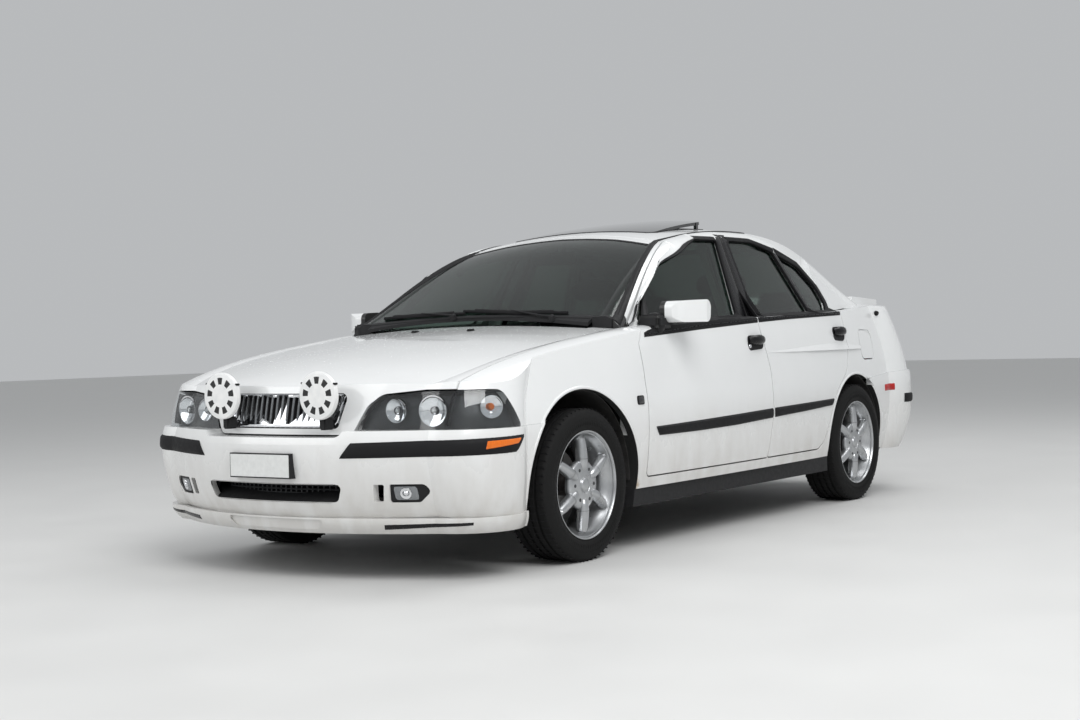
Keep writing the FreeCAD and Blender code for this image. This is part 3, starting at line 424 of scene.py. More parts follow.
class Skin:
    """Finds points on the outer faces of some CAD nodes."""

    def __init__(self, *names):
        verts, faces = [], []
        for name in names:
            mesh = CAD[name].data
            base = len(verts)
            verts += [v.co.copy() for v in mesh.vertices]
            faces += [[base + i for i in p.vertices] for p in mesh.polygons]
        self.tree = BVHTree.FromPolygons(verts, faces)

    def at(self, view, a, b):
        """The point seen from the side (x, z), front or rear (y, z), top (x, y), or round a corner (degrees, z)."""
        start, way = {
            "left": (Vector((a, 3, b)), Vector((0, -1, 0))),
            "front": (Vector((4, a, b)), Vector((-1, 0, 0))),
            "rear": (Vector((-4, a, b)), Vector((1, 0, 0))),
            "top": (Vector((a, b, 3)), Vector((0, 0, -1))),
        }.get(view) or self.round(view, a, b)
        point, normal, _, _ = self.tree.ray_cast(start, way)
        if point is None:
            point, normal, _, _ = self.tree.find_nearest(start + way * (3 if start.length > 3 else 2.2))
        if view == "top":  # bridges the narrow seams between panels
            reach, fall = 0.007, 0.03
            for dx, dy in ((0, -reach), (0, reach), (-reach, 0), (reach, 0)):
                near, slope, _, _ = self.tree.ray_cast(start + Vector((dx, dy, 0)), way)
                if near is not None and near.z > point.z + fall:
                    point, normal = Vector((a, b, near.z)), slope
        if normal.dot(way) > 0:
            normal = -normal
        return point, normal

    def hit(self, a, b):
        """Whether a ray from the side meets the skin at all."""
        return self.tree.ray_cast(Vector((a, 3, b)), Vector((0, -1, 0)), 2.5)[0] is not None

    @staticmethod
    def round(view, a, b):
        """Start and direction of a ray towards a corner of the car, turned a degrees from its middle line."""
        centre = Vector(((1.35 if view == "front_corner" else -1.35), 0, b))
        turn = math.radians(a if view == "front_corner" else 180 - a)
        way = -Vector((math.cos(turn), math.sin(turn), 0))
        return centre - way * 3, way


def strip(skin, view, low, high, mat, lift=0.006, rows=6, sink=0.002, edge=0.3, ends=True, steps=0):
    """A pad on the skin between two lines of view points, spread over some steps. Its edges are rounded."""
    if steps:
        low, high = lines(low, steps), lines(high, steps)
    n, verts = len(low), []
    for i in range(n):
        close = 0.55 if ends and i in (0, n - 1) else 1.0
        for j in range(rows + 1):
            v = j / rows
            a = low[i][0] + (high[i][0] - low[i][0]) * v
            b = low[i][1] + (high[i][1] - low[i][1]) * v
            point, normal = skin.at(view, a, b)
            height = lift * close * math.sqrt(1 - max(0, 1 - min(v, 1 - v) / edge) ** 2)
            verts.append(point + normal * height)
    width, back = rows + 1, len(verts)
    faces = grid(n, width, round_width=False)
    for i in range(n):
        for j in (0, rows):
            a, b = (low[i], high[i])[j > 0]
            point, normal = skin.at(view, a, b)
            verts.append(point - normal * sink)
    for i in range(n - 1):
        faces += [
            (i * width, (i + 1) * width, back + 2 * (i + 1), back + 2 * i),
            (i * width + rows, back + 2 * i + 1, back + 2 * (i + 1) + 1, (i + 1) * width + rows),
        ]
    for i in (0, n - 1):
        faces.append(tuple(i * width + j for j in range(width)) + (back + 2 * i + 1, back + 2 * i))
    return put(verts, faces, mat)


def lines(points, n):
    """n + 1 points evenly spread along a line of view points."""
    lengths = [0.0]
    for p, q in zip(points, points[1:]):
        lengths.append(lengths[-1] + math.dist(p, q))
    out = []
    for i in range(n + 1):
        s = lengths[-1] * i / n
        k = max(j for j in range(len(points)) if lengths[j] <= s + 1e-9)
        k = min(k, len(points) - 2)
        t = (s - lengths[k]) / max(1e-9, lengths[k + 1] - lengths[k])
        p, q = points[k], points[k + 1]
        out.append((p[0] + (q[0] - p[0]) * t, p[1] + (q[1] - p[1]) * t))
    return out


def rounded(points, radius, steps=4):
    """A closed outline with each corner rounded."""
    out, n = [], len(points)
    for i in range(n):
        p, a, b = Vector(points[i]), Vector(points[i - 1]), Vector(points[(i + 1) % n])
        t = min(radius, 0.45 * (a - p).length, 0.45 * (b - p).length)
        start, end = p + (a - p).normalized() * t, p + (b - p).normalized() * t
        for k in range(steps + 1):
            u = k / steps
            out.append(tuple(start * (1 - u) ** 2 + p * 2 * u * (1 - u) + end * u * u))
    return out


def grown(points, by):
    """A closed outline moved outwards."""
    points = [Vector(p[:2]) for p in points]
    n = len(points)
    area = sum(points[i - 1].cross(points[i]) for i in range(n))
    out = []
    for i, p in enumerate(points):
        u, v = (p - points[i - 1]).normalized(), (points[(i + 1) % n] - p).normalized()
        side = [Vector((w.y, -w.x)) * (1 if area > 0 else -1) for w in (u, v)]
        middle = (side[0] + side[1]).normalized()
        out.append(tuple(p + middle * by / max(0.4, middle.dot(side[0]))))
    return out


def spaced(path, step, least, closed=True):
    """Points along a path, about step apart."""
    pts = list(path) + ([path[0]] if closed else [])
    pts = lines(pts, max(least, int(sum(math.dist(p, q) for p, q in zip(pts, pts[1:])) / step)))
    return pts[:-1] if closed else pts


def ribbon(skin, view, path, width, mat, lift=0.004, closed=True, sink=0.002, step=0.03):
    """A seal or shut line that follows a path of view points over the skin."""
    pts = spaced(path, step, 8, closed)
    n, verts = len(pts), []
    profile = ((-0.5, -sink), (-0.42, lift * 0.8), (-0.2, lift), (0.2, lift), (0.42, lift * 0.8), (0.5, -sink))
    for i, p in enumerate(pts):
        a = Vector(pts[i - 1]) if (closed or i) else Vector(p)
        b = Vector(pts[(i + 1) % n]) if (closed or i < n - 1) else Vector(p)
        along = (b - a).normalized()
        side = Vector((-along.y, along.x))
        for offset, height in profile:
            q = Vector(p) + side * offset * width
            point, normal = skin.at(view, q.x, q.y)
            verts.append(point + normal * height)
    return put(verts, grid(n, len(profile), closed, ends=not closed), mat)


def seal(skin, path, high=0.018, lift=0.003, low=-0.003, deep=0.01, mat="rubber", step=0.025, closed=True,
         edge=0.002):
    """A band beside a window opening in the side view. Inside the distance edge it goes on level with the skin."""
    pts = spaced(path, step, 12, closed)
    count, verts = len(pts), []
    area = sum(Vector(pts[i - 1]).cross(Vector(pts[i])) for i in range(count))
    profile = ((low, -deep), (low, lift * 0.6), (low + 0.0018, lift), (high - 0.007, lift),
               (high - 0.0015, lift * 0.6), (high, -0.001))
    for i, p in enumerate(pts):
        before, after = (i - 1, (i + 1) % count) if closed else (max(i - 1, 0), min(i + 1, count - 1))
        along = (Vector(pts[after]) - Vector(pts[before])).normalized()
        side = Vector((along.y, -along.x)) * (1 if area > 0 else -1)
        for offset, height in profile:
            q = Vector(p) + side * max(offset, edge)
            point, normal = skin.at("left", q.x, q.y)
            slide = Vector((side.x, 0, side.y)) * min(0.0, offset - edge)
            slide -= normal * slide.dot(normal)
            verts.append(point + slide + normal * height)
    return put(verts, grid(count, len(profile), closed, ends=not closed), mat)


def ledge(skin, outer, middle, inner_, more, mat, lift, deep=0.012):
    """A band from an outer to a middle line on the skin that goes on, level with it, to a line inside an opening."""
    verts = []
    starts = [skin.at("left", *a)[0] for a in outer]
    edges = [skin.at("left", *b) for b in middle]
    ways = [(edge - start).normalized() for start, (edge, _) in zip(starts, edges)]
    count = len(outer)
    for i, (b, c) in enumerate(zip(middle, inner_)):
        near = range(max(0, i - 5), min(count, i + 6))
        way = sum((ways[k] for k in near), Vector()).normalized()
        normal = sum((edges[k][1] for k in near), Vector()).normalized()
        start, edge = starts[i], edges[i][0]
        end = edge + way * (math.dist(b, c) + more * min(1, 0.3 + 4 * (1 - i / (count - 1))))
        verts += [start - normal * 0.001, start + normal * lift * 0.7 + way * 0.001,
                  start + normal * lift + way * 0.003, edge + normal * lift]
        verts += [end + normal * lift - way * 0.002, end + normal * lift * 0.6, end - normal * deep]
    return put(verts, grid(count, len(verts) // count, ends=True), mat)


def disc_patch(skin, view, outline, mat, lift=0.003, rings=4, dome=0.0, sink=0.002):
    """A filled outline laid on the skin."""
    outline = spaced(outline, 0.012, 24)
    n = len(outline)
    cx = sum(p[0] for p in outline) / n
    cy = sum(p[1] for p in outline) / n
    verts, faces = [], []
    point, normal = skin.at(view, cx, cy)
    verts.append(point + normal * (lift + dome))
    for r in range(1, rings + 1):
        t = r / rings
        for p in outline:
            point, normal = skin.at(view, cx + (p[0] - cx) * t, cy + (p[1] - cy) * t)
            verts.append(point + normal * (lift + dome * (1 - t * t)))
    for p in outline:
        point, normal = skin.at(view, *p)
        verts.append(point - normal * sink)
    for i in range(n):
        k = (i + 1) % n
        faces.append((0, 1 + i, 1 + k))
        for r in range(rings):
            a, b = 1 + r * n, 1 + (r + 1) * n
            faces.append((a + i, b + i, b + k, a + k))
    last = 1 + rings * n
    faces.append(tuple(last + i for i in range(n)))
    return put(verts, faces, mat)


def lathe(profile, origin, axis, mat, steps=48, closed=False):
    """A (radius, along) profile turned about an axis through origin."""
    axis = Vector(axis).normalized()
    up = axis.orthogonal().normalized()
    side = axis.cross(up)
    verts = []
    for i in range(steps):
        turn = 2 * math.pi * i / steps
        d = up * math.cos(turn) + side * math.sin(turn)
        verts += [Vector(origin) + d * r + axis * h for r, h in profile]
    return put(verts, grid(steps, len(profile), True, closed), mat)


def tube(points, radius, mat, sides=10, flat=1.0):
    """A bar through some points. radius is one value, or one for each point."""
    pts = [Vector(p) for p in points]
    radii = radius if isinstance(radius, (list, tuple)) else [radius] * len(pts)
    verts, up = [], Vector((0, 0, 1))
    for i, p in enumerate(pts):
        along = (pts[min(i + 1, len(pts) - 1)] - pts[max(i - 1, 0)]).normalized()
        side = along.cross(up if abs(along.z) < 0.95 else Vector((1, 0, 0))).normalized()
        top = side.cross(along)
        for k in range(sides):
            turn = 2 * math.pi * k / sides
            verts.append(p + (side * math.cos(turn) + top * math.sin(turn) * flat) * radii[i])
    return put(verts, grid(len(pts), sides, ends=True), mat)


def block(low, high, mat, bevel=0.006, segments=3, at=(0, 0, 0)):
    """A box with rounded edges, from a low to a high corner counted from the point at."""
    if any(at):
        low, high = at + Vector(low), at + Vector(high)
    verts = [(x, y, z) for x in (low[0], high[0]) for y in (low[1], high[1]) for z in (low[2], high[2])]
    faces = [(0, 1, 3, 2), (4, 6, 7, 5), (0, 4, 5, 1), (2, 3, 7, 6), (0, 2, 6, 4), (1, 5, 7, 3)]
    obj = put(verts, faces, mat, smooth=False)
    edit = bmesh.new()
    edit.from_mesh(obj.data)
    bmesh.ops.bevel(edit, geom=list(edit.edges) + list(edit.verts), offset=bevel, segments=segments, affect="EDGES")
    edit.to_mesh(obj.data)
    edit.free()
    obj.data.shade_smooth()
    sharp_edges(obj.data)
    return obj


class Copies:
    """A Geometry Nodes tree with named inputs. It puts copies on points, makes them real and sets their material."""

    def __init__(self, mat, *named):
        self.tree = bpy.data.node_groups.new("copies", "GeometryNodeTree")
        face = self.tree.interface
        face.new_socket("Geometry", in_out="INPUT", socket_type="NodeSocketGeometry")
        self.values = {}
        for label, kind, value in (*named, ("Material", "Material", MATS[mat])):
            socket = face.new_socket(label, in_out="INPUT", socket_type="NodeSocket" + kind)
            self.values[socket.identifier] = value
        face.new_socket("Geometry", in_out="OUTPUT", socket_type="NodeSocketGeometry")
        self.inputs = self.add("NodeGroupInput").outputs
        copies, real = self.add("GeometryNodeInstanceOnPoints"), self.add("GeometryNodeRealizeInstances")
        finish, out = self.add("GeometryNodeSetMaterial"), self.add("NodeGroupOutput")
        self.copies = copies.inputs
        self.link(copies.outputs["Instances"], real.inputs["Geometry"])
        self.link(real.outputs["Geometry"], finish.inputs["Geometry"])
        self.link(self.inputs["Material"], finish.inputs["Material"])
        self.link(finish.outputs["Geometry"], out.inputs[0])

    def add(self, kind):
        return self.tree.nodes.new(kind)

    def link(self, out, to):
        self.tree.links.new(out, to)

    def apply(self, unit):
        """Runs the tree on unit and leaves only the plain mesh that it makes."""
        modifier = unit.modifiers.new("nodes", "NODES")
        modifier.node_group = self.tree
        for identifier, value in self.values.items():
            modifier[identifier] = value
        return plain(unit)


def plain(obj):
    """Puts the mesh that the modifiers make in place of the object's own."""
    bpy.context.view_layer.update()
    mesh = bpy.data.meshes.new_from_object(obj.evaluated_get(bpy.context.evaluated_depsgraph_get()))
    obj.modifiers.clear()
    old, obj.data = obj.data, mesh
    bpy.data.meshes.remove(old)
    return obj


def repeat(unit, count, step, turn, mat):
    """Copies of unit, each moved by step and turned about the Y axis."""
    tree = Copies(mat, ("Count", "Int", count), ("Step", "Vector", step), ("Turn", "Float", turn))
    row, index = tree.add("GeometryNodeMeshLine"), tree.add("GeometryNodeInputIndex")
    angle, spin = tree.add("ShaderNodeMath"), tree.add("ShaderNodeCombineXYZ")
    angle.operation = "MULTIPLY"
    tree.link(tree.inputs["Count"], row.inputs["Count"])
    tree.link(tree.inputs["Step"], row.inputs["Offset"])
    tree.link(index.outputs[0], angle.inputs[0])
    tree.link(tree.inputs["Turn"], angle.inputs[1])
    tree.link(angle.outputs[0], spin.inputs["Y"])
    tree.link(row.outputs["Mesh"], tree.copies["Points"])
    tree.link(tree.inputs["Geometry"], tree.copies["Instance"])
    tree.link(spin.outputs["Vector"], tree.copies["Rotation"])
    return tree.apply(unit)


def round_repeat(unit, count, mat):
    """Copies of unit all round the wheel's axis."""
    return repeat(unit, count, (0, 0, 0), 2 * math.pi / count, mat)


def drops(node, density, seed, radius, mat, low, high):
    """Small water drops on the upper faces of a CAD node, between two x values."""
    edit = bmesh.new()
    edit.from_mesh(CAD[node].data)
    away = [f for f in edit.faces if not (f.normal.z > 0.75 and low < f.calc_center_median().x < high)]
    bmesh.ops.delete(edit, geom=away, context="FACES")
    unit = new_object(bpy.data.meshes.new("part"))
    edit.to_mesh(unit.data)
    edit.free()
    tree = Copies(mat, ("Density", "Float", density), ("Seed", "Int", seed), ("Radius", "Float", radius))
    spread, drop = tree.add("GeometryNodeDistributePointsOnFaces"), tree.add("GeometryNodeMeshIcoSphere")
    size = tree.add("FunctionNodeRandomValue")
    drop.inputs["Subdivisions"].default_value = 2
    size.data_type = "FLOAT_VECTOR"
    size.inputs[0].default_value = (0.35, 0.35, 0.2)
    size.inputs[1].default_value = (1.2, 1.2, 0.45)
    tree.link(tree.inputs["Geometry"], spread.inputs["Mesh"])
    tree.link(tree.inputs["Density"], spread.inputs["Density"])
    tree.link(tree.inputs["Seed"], spread.inputs["Seed"])
    tree.link(tree.inputs["Radius"], drop.inputs["Radius"])
    tree.link(tree.inputs["Seed"], size.inputs["Seed"])
    tree.link(spread.outputs["Points"], tree.copies["Points"])
    tree.link(spread.outputs["Rotation"], tree.copies["Rotation"])
    tree.link(drop.outputs["Mesh"], tree.copies["Instance"])
    tree.link(size.outputs[0], tree.copies["Scale"])
    tree.apply(unit).data.shade_smooth()
    return unit


# Settings

class SaloonPaint(bpy.types.PropertyGroup):
    paint: bpy.props.FloatVectorProperty(name="Paint", description="Colour of the painted panels", subtype="COLOR",
                                         size=3, min=0, max=1, default=(0.8, 0.81, 0.81))
    drops: bpy.props.FloatProperty(name="Drops", description="Water drops on each square metre of the bonnet",
                                   default=900.0, min=0.0)


class SaloonTrim(bpy.types.PropertyGroup):
    strip_lift: bpy.props.FloatProperty(name="Strip lift", description="How far the side strips stand out",
                                        default=0.009, unit="LENGTH")
    seal: bpy.props.FloatProperty(name="Seal width", description="Width of the black window seals", default=0.018,
                                  unit="LENGTH")


class SaloonWheels(bpy.types.PropertyGroup):
    radius: bpy.props.FloatProperty(name="Tyre radius", description="Outer radius of the tyre", default=0.298,
                                    unit="LENGTH")
    blocks: bpy.props.IntProperty(name="Tread blocks", description="Blocks round the tyre in each row", default=64,
                                  min=12)
    spokes: bpy.props.IntProperty(name="Spokes", description="Spokes of each wheel", default=6, min=3)


class SaloonOperator:
    bl_options = {"REGISTER", "UNDO"}


class OBJECT_OT_saloon_frame(SaloonOperator, bpy.types.Operator):
    """Gives every CAD piece its finish"""
    bl_idname = "object.saloon_frame"
    bl_label = "Finish the frame"

    def execute(self, context):
        build_materials(context.scene.saloon_paint)
        groups = {
            "paint": both("body_side", "door_front", "door_rear") + (
                "roof", "front_wings", "front_bumper", "front_lip", "rear_bumper", "bonnet", "boot_lid",
                "boot_spoiler", "fuel_flap"),
            "mirror_paint": both("mirror"),
            "underbody": ("floor", "rear_structure", "firewall", "inner_wings", "front_panel", "arch_liners"),
            "black_plastic": ("cowl", "sill_trims", "grille", "front_plate", "fuel_tank", "fog_lamps"),
            "steel_dark": ("front_subframe", "front_struts", "rear_axle", "exhaust"),
            "cast": ("engine_block",) + both("knuckle"),
            "glass": ("windscreen", "rear_window") + both("glass_front", "glass_rear"),
            "sunroof_glass": ("sunroof_panel",),
            "fabric": ("front_seats", "rear_seat"),
            "dash": ("dashboard", "steering_wheel"),
            "red_lens": ("tail_lamps",),
            "bezel": ("headlamps",),
            "chrome": ("radiator",),
            "lamp_cover": ("driving_lamps",),
            "tyre": both("tyre_front", "tyre_rear"),
            "alloy": both("wheel_front", "wheel_rear"),
        }
        for mat, names in groups.items():
            for name in names:
                CAD[name].data.materials.clear()
                CAD[name].data.materials.append(MATS[mat])
        missing = set(CAD) - {n for names in groups.values() for n in names}
        if missing:
            raise RuntimeError(f"no finish for {sorted(missing)}")
        return {"FINISHED"}


# Lower and upper lines of the strips on the doors, (x, z)
DOOR_STRIPS = {
    "front": (((0.792, 0.459), (0.469, 0.459), (0.133, 0.464), (-0.238, 0.4775)),
              ((0.815, 0.497), (0.467, 0.504), (0.132, 0.512), (-0.241, 0.522))),
    "rear": (((-0.262, 0.479), (-0.618, 0.491), (-0.922, 0.5035)), ((-0.262, 0.523), (-0.62, 0.53), (-0.948, 0.537))),
}


class OBJECT_OT_saloon_strips(SaloonOperator, bpy.types.Operator):
    """Black rub strips on the doors and bumpers, with the side lamps and the edges of the wheel arches"""
    bl_idname = "object.saloon_strips"
    bl_label = "Rub strips"

    def execute(self, context):
        size = context.scene.saloon_trim
        n = 30
        for end, (low, high) in DOOR_STRIPS.items():
            made = strip(Skin(DOORS[end][0]), "left", low, high, "rubber", size.strip_lift, steps=n)
            pair(made, f"strip_{end}", DOORS[end])
        bumpers = (
            ("bumper_strip", "front_bumper", "front_corner", ((21.9, 0.455), (60.8, 0.463)),
             ((24.7, 0.511), (64.0, 0.525)), "rubber", 0.008),
            ("side_lamp", "front_bumper", "front_corner", ((53.0, 0.476), (61.0, 0.492)),
             ((53.6, 0.514), (62.4, 0.517)), "amber", 0.0105),
            ("rear_strip", "rear_bumper", "rear_corner", ((22, 0.478), (61, 0.478)), ((22, 0.528), (61, 0.528)),
             "rubber", 0.007),
        )
        for name, node, view, low, high, mat, lift in bumpers:
            pair(strip(Skin(node), view, low, high, mat, lift, steps=n), name, BODY)
        skin = Skin("rear_bumper")
        marker = strip(skin, "left", ((-1.747, 0.549), (-1.648, 0.547)), ((-1.747, 0.585), (-1.648, 0.582)),
                       "red_lens", 0.006, steps=8)
        pair(marker, "rear_marker", BODY)
        for end, names in (("front", ("front_wings", "front_bumper")), ("rear", ("body_side_left", "rear_bumper"))):
            skin = Skin(*names)
            x, radius, start, stop = ARCHES[end]
            turns = [math.radians(a) for a in range(start, stop + 1, 4)]
            edge = [[(x + (radius + k) * math.cos(a), AXLE_Z + (radius + k) * math.sin(a)) for a in turns]
                    for k in (0.001, 0.014)]
            clear = [(p, q) for p, q in zip(*edge) if skin.hit(*q) and abs(p[1] - BUMPER_SEAM_Z) > 0.006]
            low, high = zip(*clear)
            pair(strip(skin, "left", low, high, "paint", 0.0035, 5, 0.001, 0.5), f"arch_lip_{end}", BODY)
        return {"FINISHED"}


# Window outlines in the side view, (x, z)
FRONT_WINDOW = ((-0.085, 0.958), (-0.202, 1.316), (0.01, 1.314), (0.145, 1.292), (0.365, 1.203), (0.64, 1.026),
                (0.745, 0.93))
REAR_WINDOW = ((-0.262, 0.962), (-0.312, 1.318), (-0.55, 1.318), (-0.768, 1.278), (-0.88, 0.974))
# The painted pillar beside the front door's glass: its outer line, the edge of the opening and its inner line
PILLAR = (
    ((0.826, 0.914), (0.74, 0.988), (0.652, 1.06), (0.515, 1.149), (0.378, 1.237), (0.262, 1.286), (0.15, 1.329),
     (0.07, 1.342), (0.0, 1.352)),
    ((0.754, 0.934), (0.695, 0.981), (0.642, 1.03), (0.506, 1.118), (0.369, 1.207), (0.256, 1.251), (0.146, 1.296),
     (0.075, 1.309), (0.0, 1.319)),
    ((0.748, 0.917), (0.678, 0.968), (0.624, 1.008), (0.488, 1.104), (0.355, 1.175), (0.245, 1.229), (0.138, 1.281),
     (0.07, 1.301), (0.0, 1.317)),
)
QUARTER_WINDOW = ((-0.915, 0.976), (-0.806, 1.266), (-1.03, 1.206), (-1.15, 1.104), (-1.166, 1.03), (-1.13, 0.984))


class OBJECT_OT_saloon_windows(SaloonOperator, bpy.types.Operator):
    """Black seals, pillar covers and belt trims round the windows"""
    bl_idname = "object.saloon_windows"
    bl_label = "Window trims"

    def execute(self, context):
        size = context.scene.saloon_trim
        for end, outlines in (("front", (FRONT_WINDOW,)), ("rear", (REAR_WINDOW, QUARTER_WINDOW))):
            door = DOORS[end]
            skin = Skin(door[0])
            if end == "front":
                outer, middle, inner_ = (lines(line, 40) for line in PILLAR)
                pair(ledge(skin, outer, middle, inner_, 0.018, "paint", 0.006), "pillar_cover_painted", door)
                made = [ledge(skin, outer, middle, inner_, 0.04, "rubber", 0.003)]
                made.append(seal(skin, ((0.73, 0.931),) + FRONT_WINDOW[:3], size.seal, closed=False))
            else:
                made = [seal(skin, rounded(grown(o, 0.0008), 0.01), size.seal) for o in outlines]
            pair(made, f"window_seal_{end}", door)
        skin = Skin("door_front_left")

        def bar(skin, foot, head, low, low_lean, high, high_lean, lift):
            """A gloss black cover from foot to head that leans with the pillar."""
            zs = [foot + (head - foot) * i / 16 for i in range(17)]
            edges = [[(x + (z - foot) * lean, z) for z in zs] for x, lean in ((low, low_lean), (high, high_lean))]
            return strip(skin, "left", *edges, "black_gloss", lift)

        cover = bar(skin, PILLAR_FOOT, PILLAR_HEAD, -0.174, -PILLAR_LEAN, -0.084, -0.327, 0.002)
        belt = strip(skin, "left", ((0.835, 0.866), (0.371, 0.894), (-0.02, 0.914), (-0.171, 0.921)),
                     ((0.83, 0.886), (0.745, 0.912), (0.371, 0.934), (-0.02, 0.948), (-0.174, 0.952)), "rubber",
                     0.005, steps=30)
        line = strip(skin, "left", ((0.822, 0.876), (0.371, 0.909), (-0.02, 0.926), (-0.17, 0.932)),
                     ((0.818, 0.882), (0.371, 0.914), (-0.02, 0.931), (-0.172, 0.937)), "black_gloss", 0.0075, 4,
                     steps=30)
        pair([cover, belt, line], "pillar_cover_front", DOORS["front"])
        skin = Skin("door_rear_left")
        front = bar(skin, PILLAR_FOOT, PILLAR_HEAD, -0.266, -0.14, -0.186, -PILLAR_LEAN, 0.002)
        middle = bar(skin, 0.972, 1.272, -0.92, 0.375, -0.876, 0.378, 0.004)
        belt = strip(skin, "left", ((-0.184, 0.922), (-0.518, 0.936), (-1.172, 0.9555)),
                     ((-0.184, 0.953), (-0.7, 0.966), (-1.178, 0.976)), "rubber", 0.005, steps=30)
        line = strip(skin, "left", ((-0.186, 0.933), (-0.518, 0.946), (-1.168, 0.962)),
                     ((-0.186, 0.938), (-0.518, 0.951), (-1.17, 0.967)), "black_gloss", 0.0075, 4, steps=30)
        inside = ((-0.8, 1.275), (-1.03, 1.213), (-1.156, 1.108), (-1.173, 1.03), (-1.135, 0.975))
        outside = ((-0.795, 1.302), (-1.055, 1.233), (-1.193, 1.112), (-1.207, 1.03), (-1.176, 0.966))
        edge = strip(skin, "left", inside, outside, "rubber", 0.003, steps=30)
        head = strip(skin, "left", ((-0.302, 1.322), (-0.55, 1.322), (-0.79, 1.277)),
                     ((-0.302, 1.338), (-0.552, 1.338), (-0.792, 1.298)), "rubber", 0.003, steps=20)
        pair([front, middle, belt, line, edge, head], "pillar_cover_rear", DOORS["rear"])
        return {"FINISHED"}


class OBJECT_OT_saloon_screens(SaloonOperator, bpy.types.Operator):
    """Black edges of the windscreen and the rear window, wipers, inner mirror, roof strips and the sunroof's seal"""
    bl_idname = "object.saloon_screens"
    bl_label = "Screens and wipers"

    def execute(self, context):
        skin = Skin("windscreen", "body_side_left", "body_side_right", "roof", "cowl")
        outer = ((0.868, 0.722), (0.7, 0.668), (0.45, 0.594), (0.196, 0.519))
        inner_ = ((0.884, 0.686), (0.7, 0.634), (0.45, 0.56), (0.2, 0.486))
        side = strip(skin, "top", inner_, outer, "black_plastic", 0.0065, steps=40)
        top = ribbon(skin, "top", [(0.25, 0.492), (0.219, 0.3), (0.206, 0.0)], 0.016, "black_gloss", 0.003,
                     closed=False)
        head = strip(skin, "top", ((0.186, 0.494), (0.155, 0.3), (0.142, 0.0)),
                     ((0.252, 0.492), (0.219, 0.3), (0.206, 0.0)), "paint", 0.0028, ends=False, steps=24)
        pair(head, "screen_header", BODY)
        base = ribbon(skin, "top", [(0.876, 0.69), (0.908, 0.4), (0.919, 0.2), (0.921, 0.0)], 0.03, "black_plastic",
                      0.003, closed=False)
        pair([side, top, base], "windscreen_edge", BODY)
        skin = Skin("rear_window", "body_side_left", "body_side_right", "roof")
        path = [(-1.168, 0.0), (-1.184, 0.3), (-1.215, 0.488), (-1.45, 0.533), (-1.676, 0.572), (-1.72, 0.3),
                (-1.73, 0.0)]
        pair(ribbon(skin, "top", path, 0.022, "black_gloss", 0.002, closed=False), "rear_window_edge", BODY)
        glass = Skin("windscreen", "cowl", "bonnet", "body_side_left", "body_side_right")
        arms = []
        for points, pivot in ((((0.878, 0.47), (0.902, 0.235), (0.895, 0.09), (0.88, -0.08)), (0.928, 0.42)),
                              (((0.897, -0.06), (0.893, -0.25), (0.875, -0.42), (0.85, -0.56)), (0.932, -0.1))):
            foot, up = glass.at("top", *pivot)
            arms.append(lathe(((0, 0.018), (0.013, 0.016), (0.016, -0.004)), foot, up, "black_plastic", 20))
            blade = [p + q * 0.007 for p, q in (glass.at("top", *v) for v in lines(points, 24))]
            arms += [
                tube(blade, 0.005, "rubber", 8, 1.4),
                tube([p + Vector((0, 0, 0.007)) for p in blade[3:22]], 0.0035, "black_plastic", 8, 1.5),
                tube([foot + up * 0.014, foot + up * 0.02 + Vector((-0.01, -0.06, 0)),
                      blade[12] + Vector((0, 0, 0.012))], [0.008, 0.007, 0.004], "black_plastic", 8, 0.6),
            ]
        ride(join("wipers", arms), "car_body")
        head = block((0.262, -0.125, 1.212), (0.29, 0.125, 1.272), "black_plastic", 0.012)
        stem = tube([(0.285, 0, 1.245), (0.312, 0, 1.25), (0.318, 0, 1.262)], 0.008, "black_plastic", 10)
        ride(join("inner_mirror", [head, stem]), "car_body")
        inner_ = ((0.2, 0.486), (0.14, 0.504), (0.07, 0.522), (0.0, 0.5305), (-0.256, 0.53), (-0.6, 0.5305))
        outer = ((0.196, 0.52), (0.13, 0.538), (0.06, 0.544), (0.0, 0.544), (-0.256, 0.543), (-0.6, 0.5435))
        skin = Skin("windscreen", "roof", "body_side_left")
        pair(strip(skin, "top", inner_, outer, "rubber", 0.002, steps=40), "roof_strip", BODY)
        skin = Skin("roof")
        hole = rounded(((0.036, 0.401), (-0.456, 0.401), (-0.456, -0.401), (0.036, -0.401)), 0.04, 5)
        ride(join("sunroof_seal", ribbon(skin, "top", hole, 0.012, "rubber", 0.003, step=0.05)), "car_body")
        return {"FINISHED"}


# Outlines of the door handles in the side view, (x, z)
HANDLES = {
    "front": ((-0.04, 0.862), (-0.188, 0.864), (-0.193, 0.83), (-0.178, 0.8), (-0.052, 0.793), (-0.037, 0.817)),
    "rear": ((-1.014, 0.894), (-1.158, 0.897), (-1.166, 0.87), (-1.155, 0.835), (-1.13, 0.822), (-1.018, 0.828)),
}


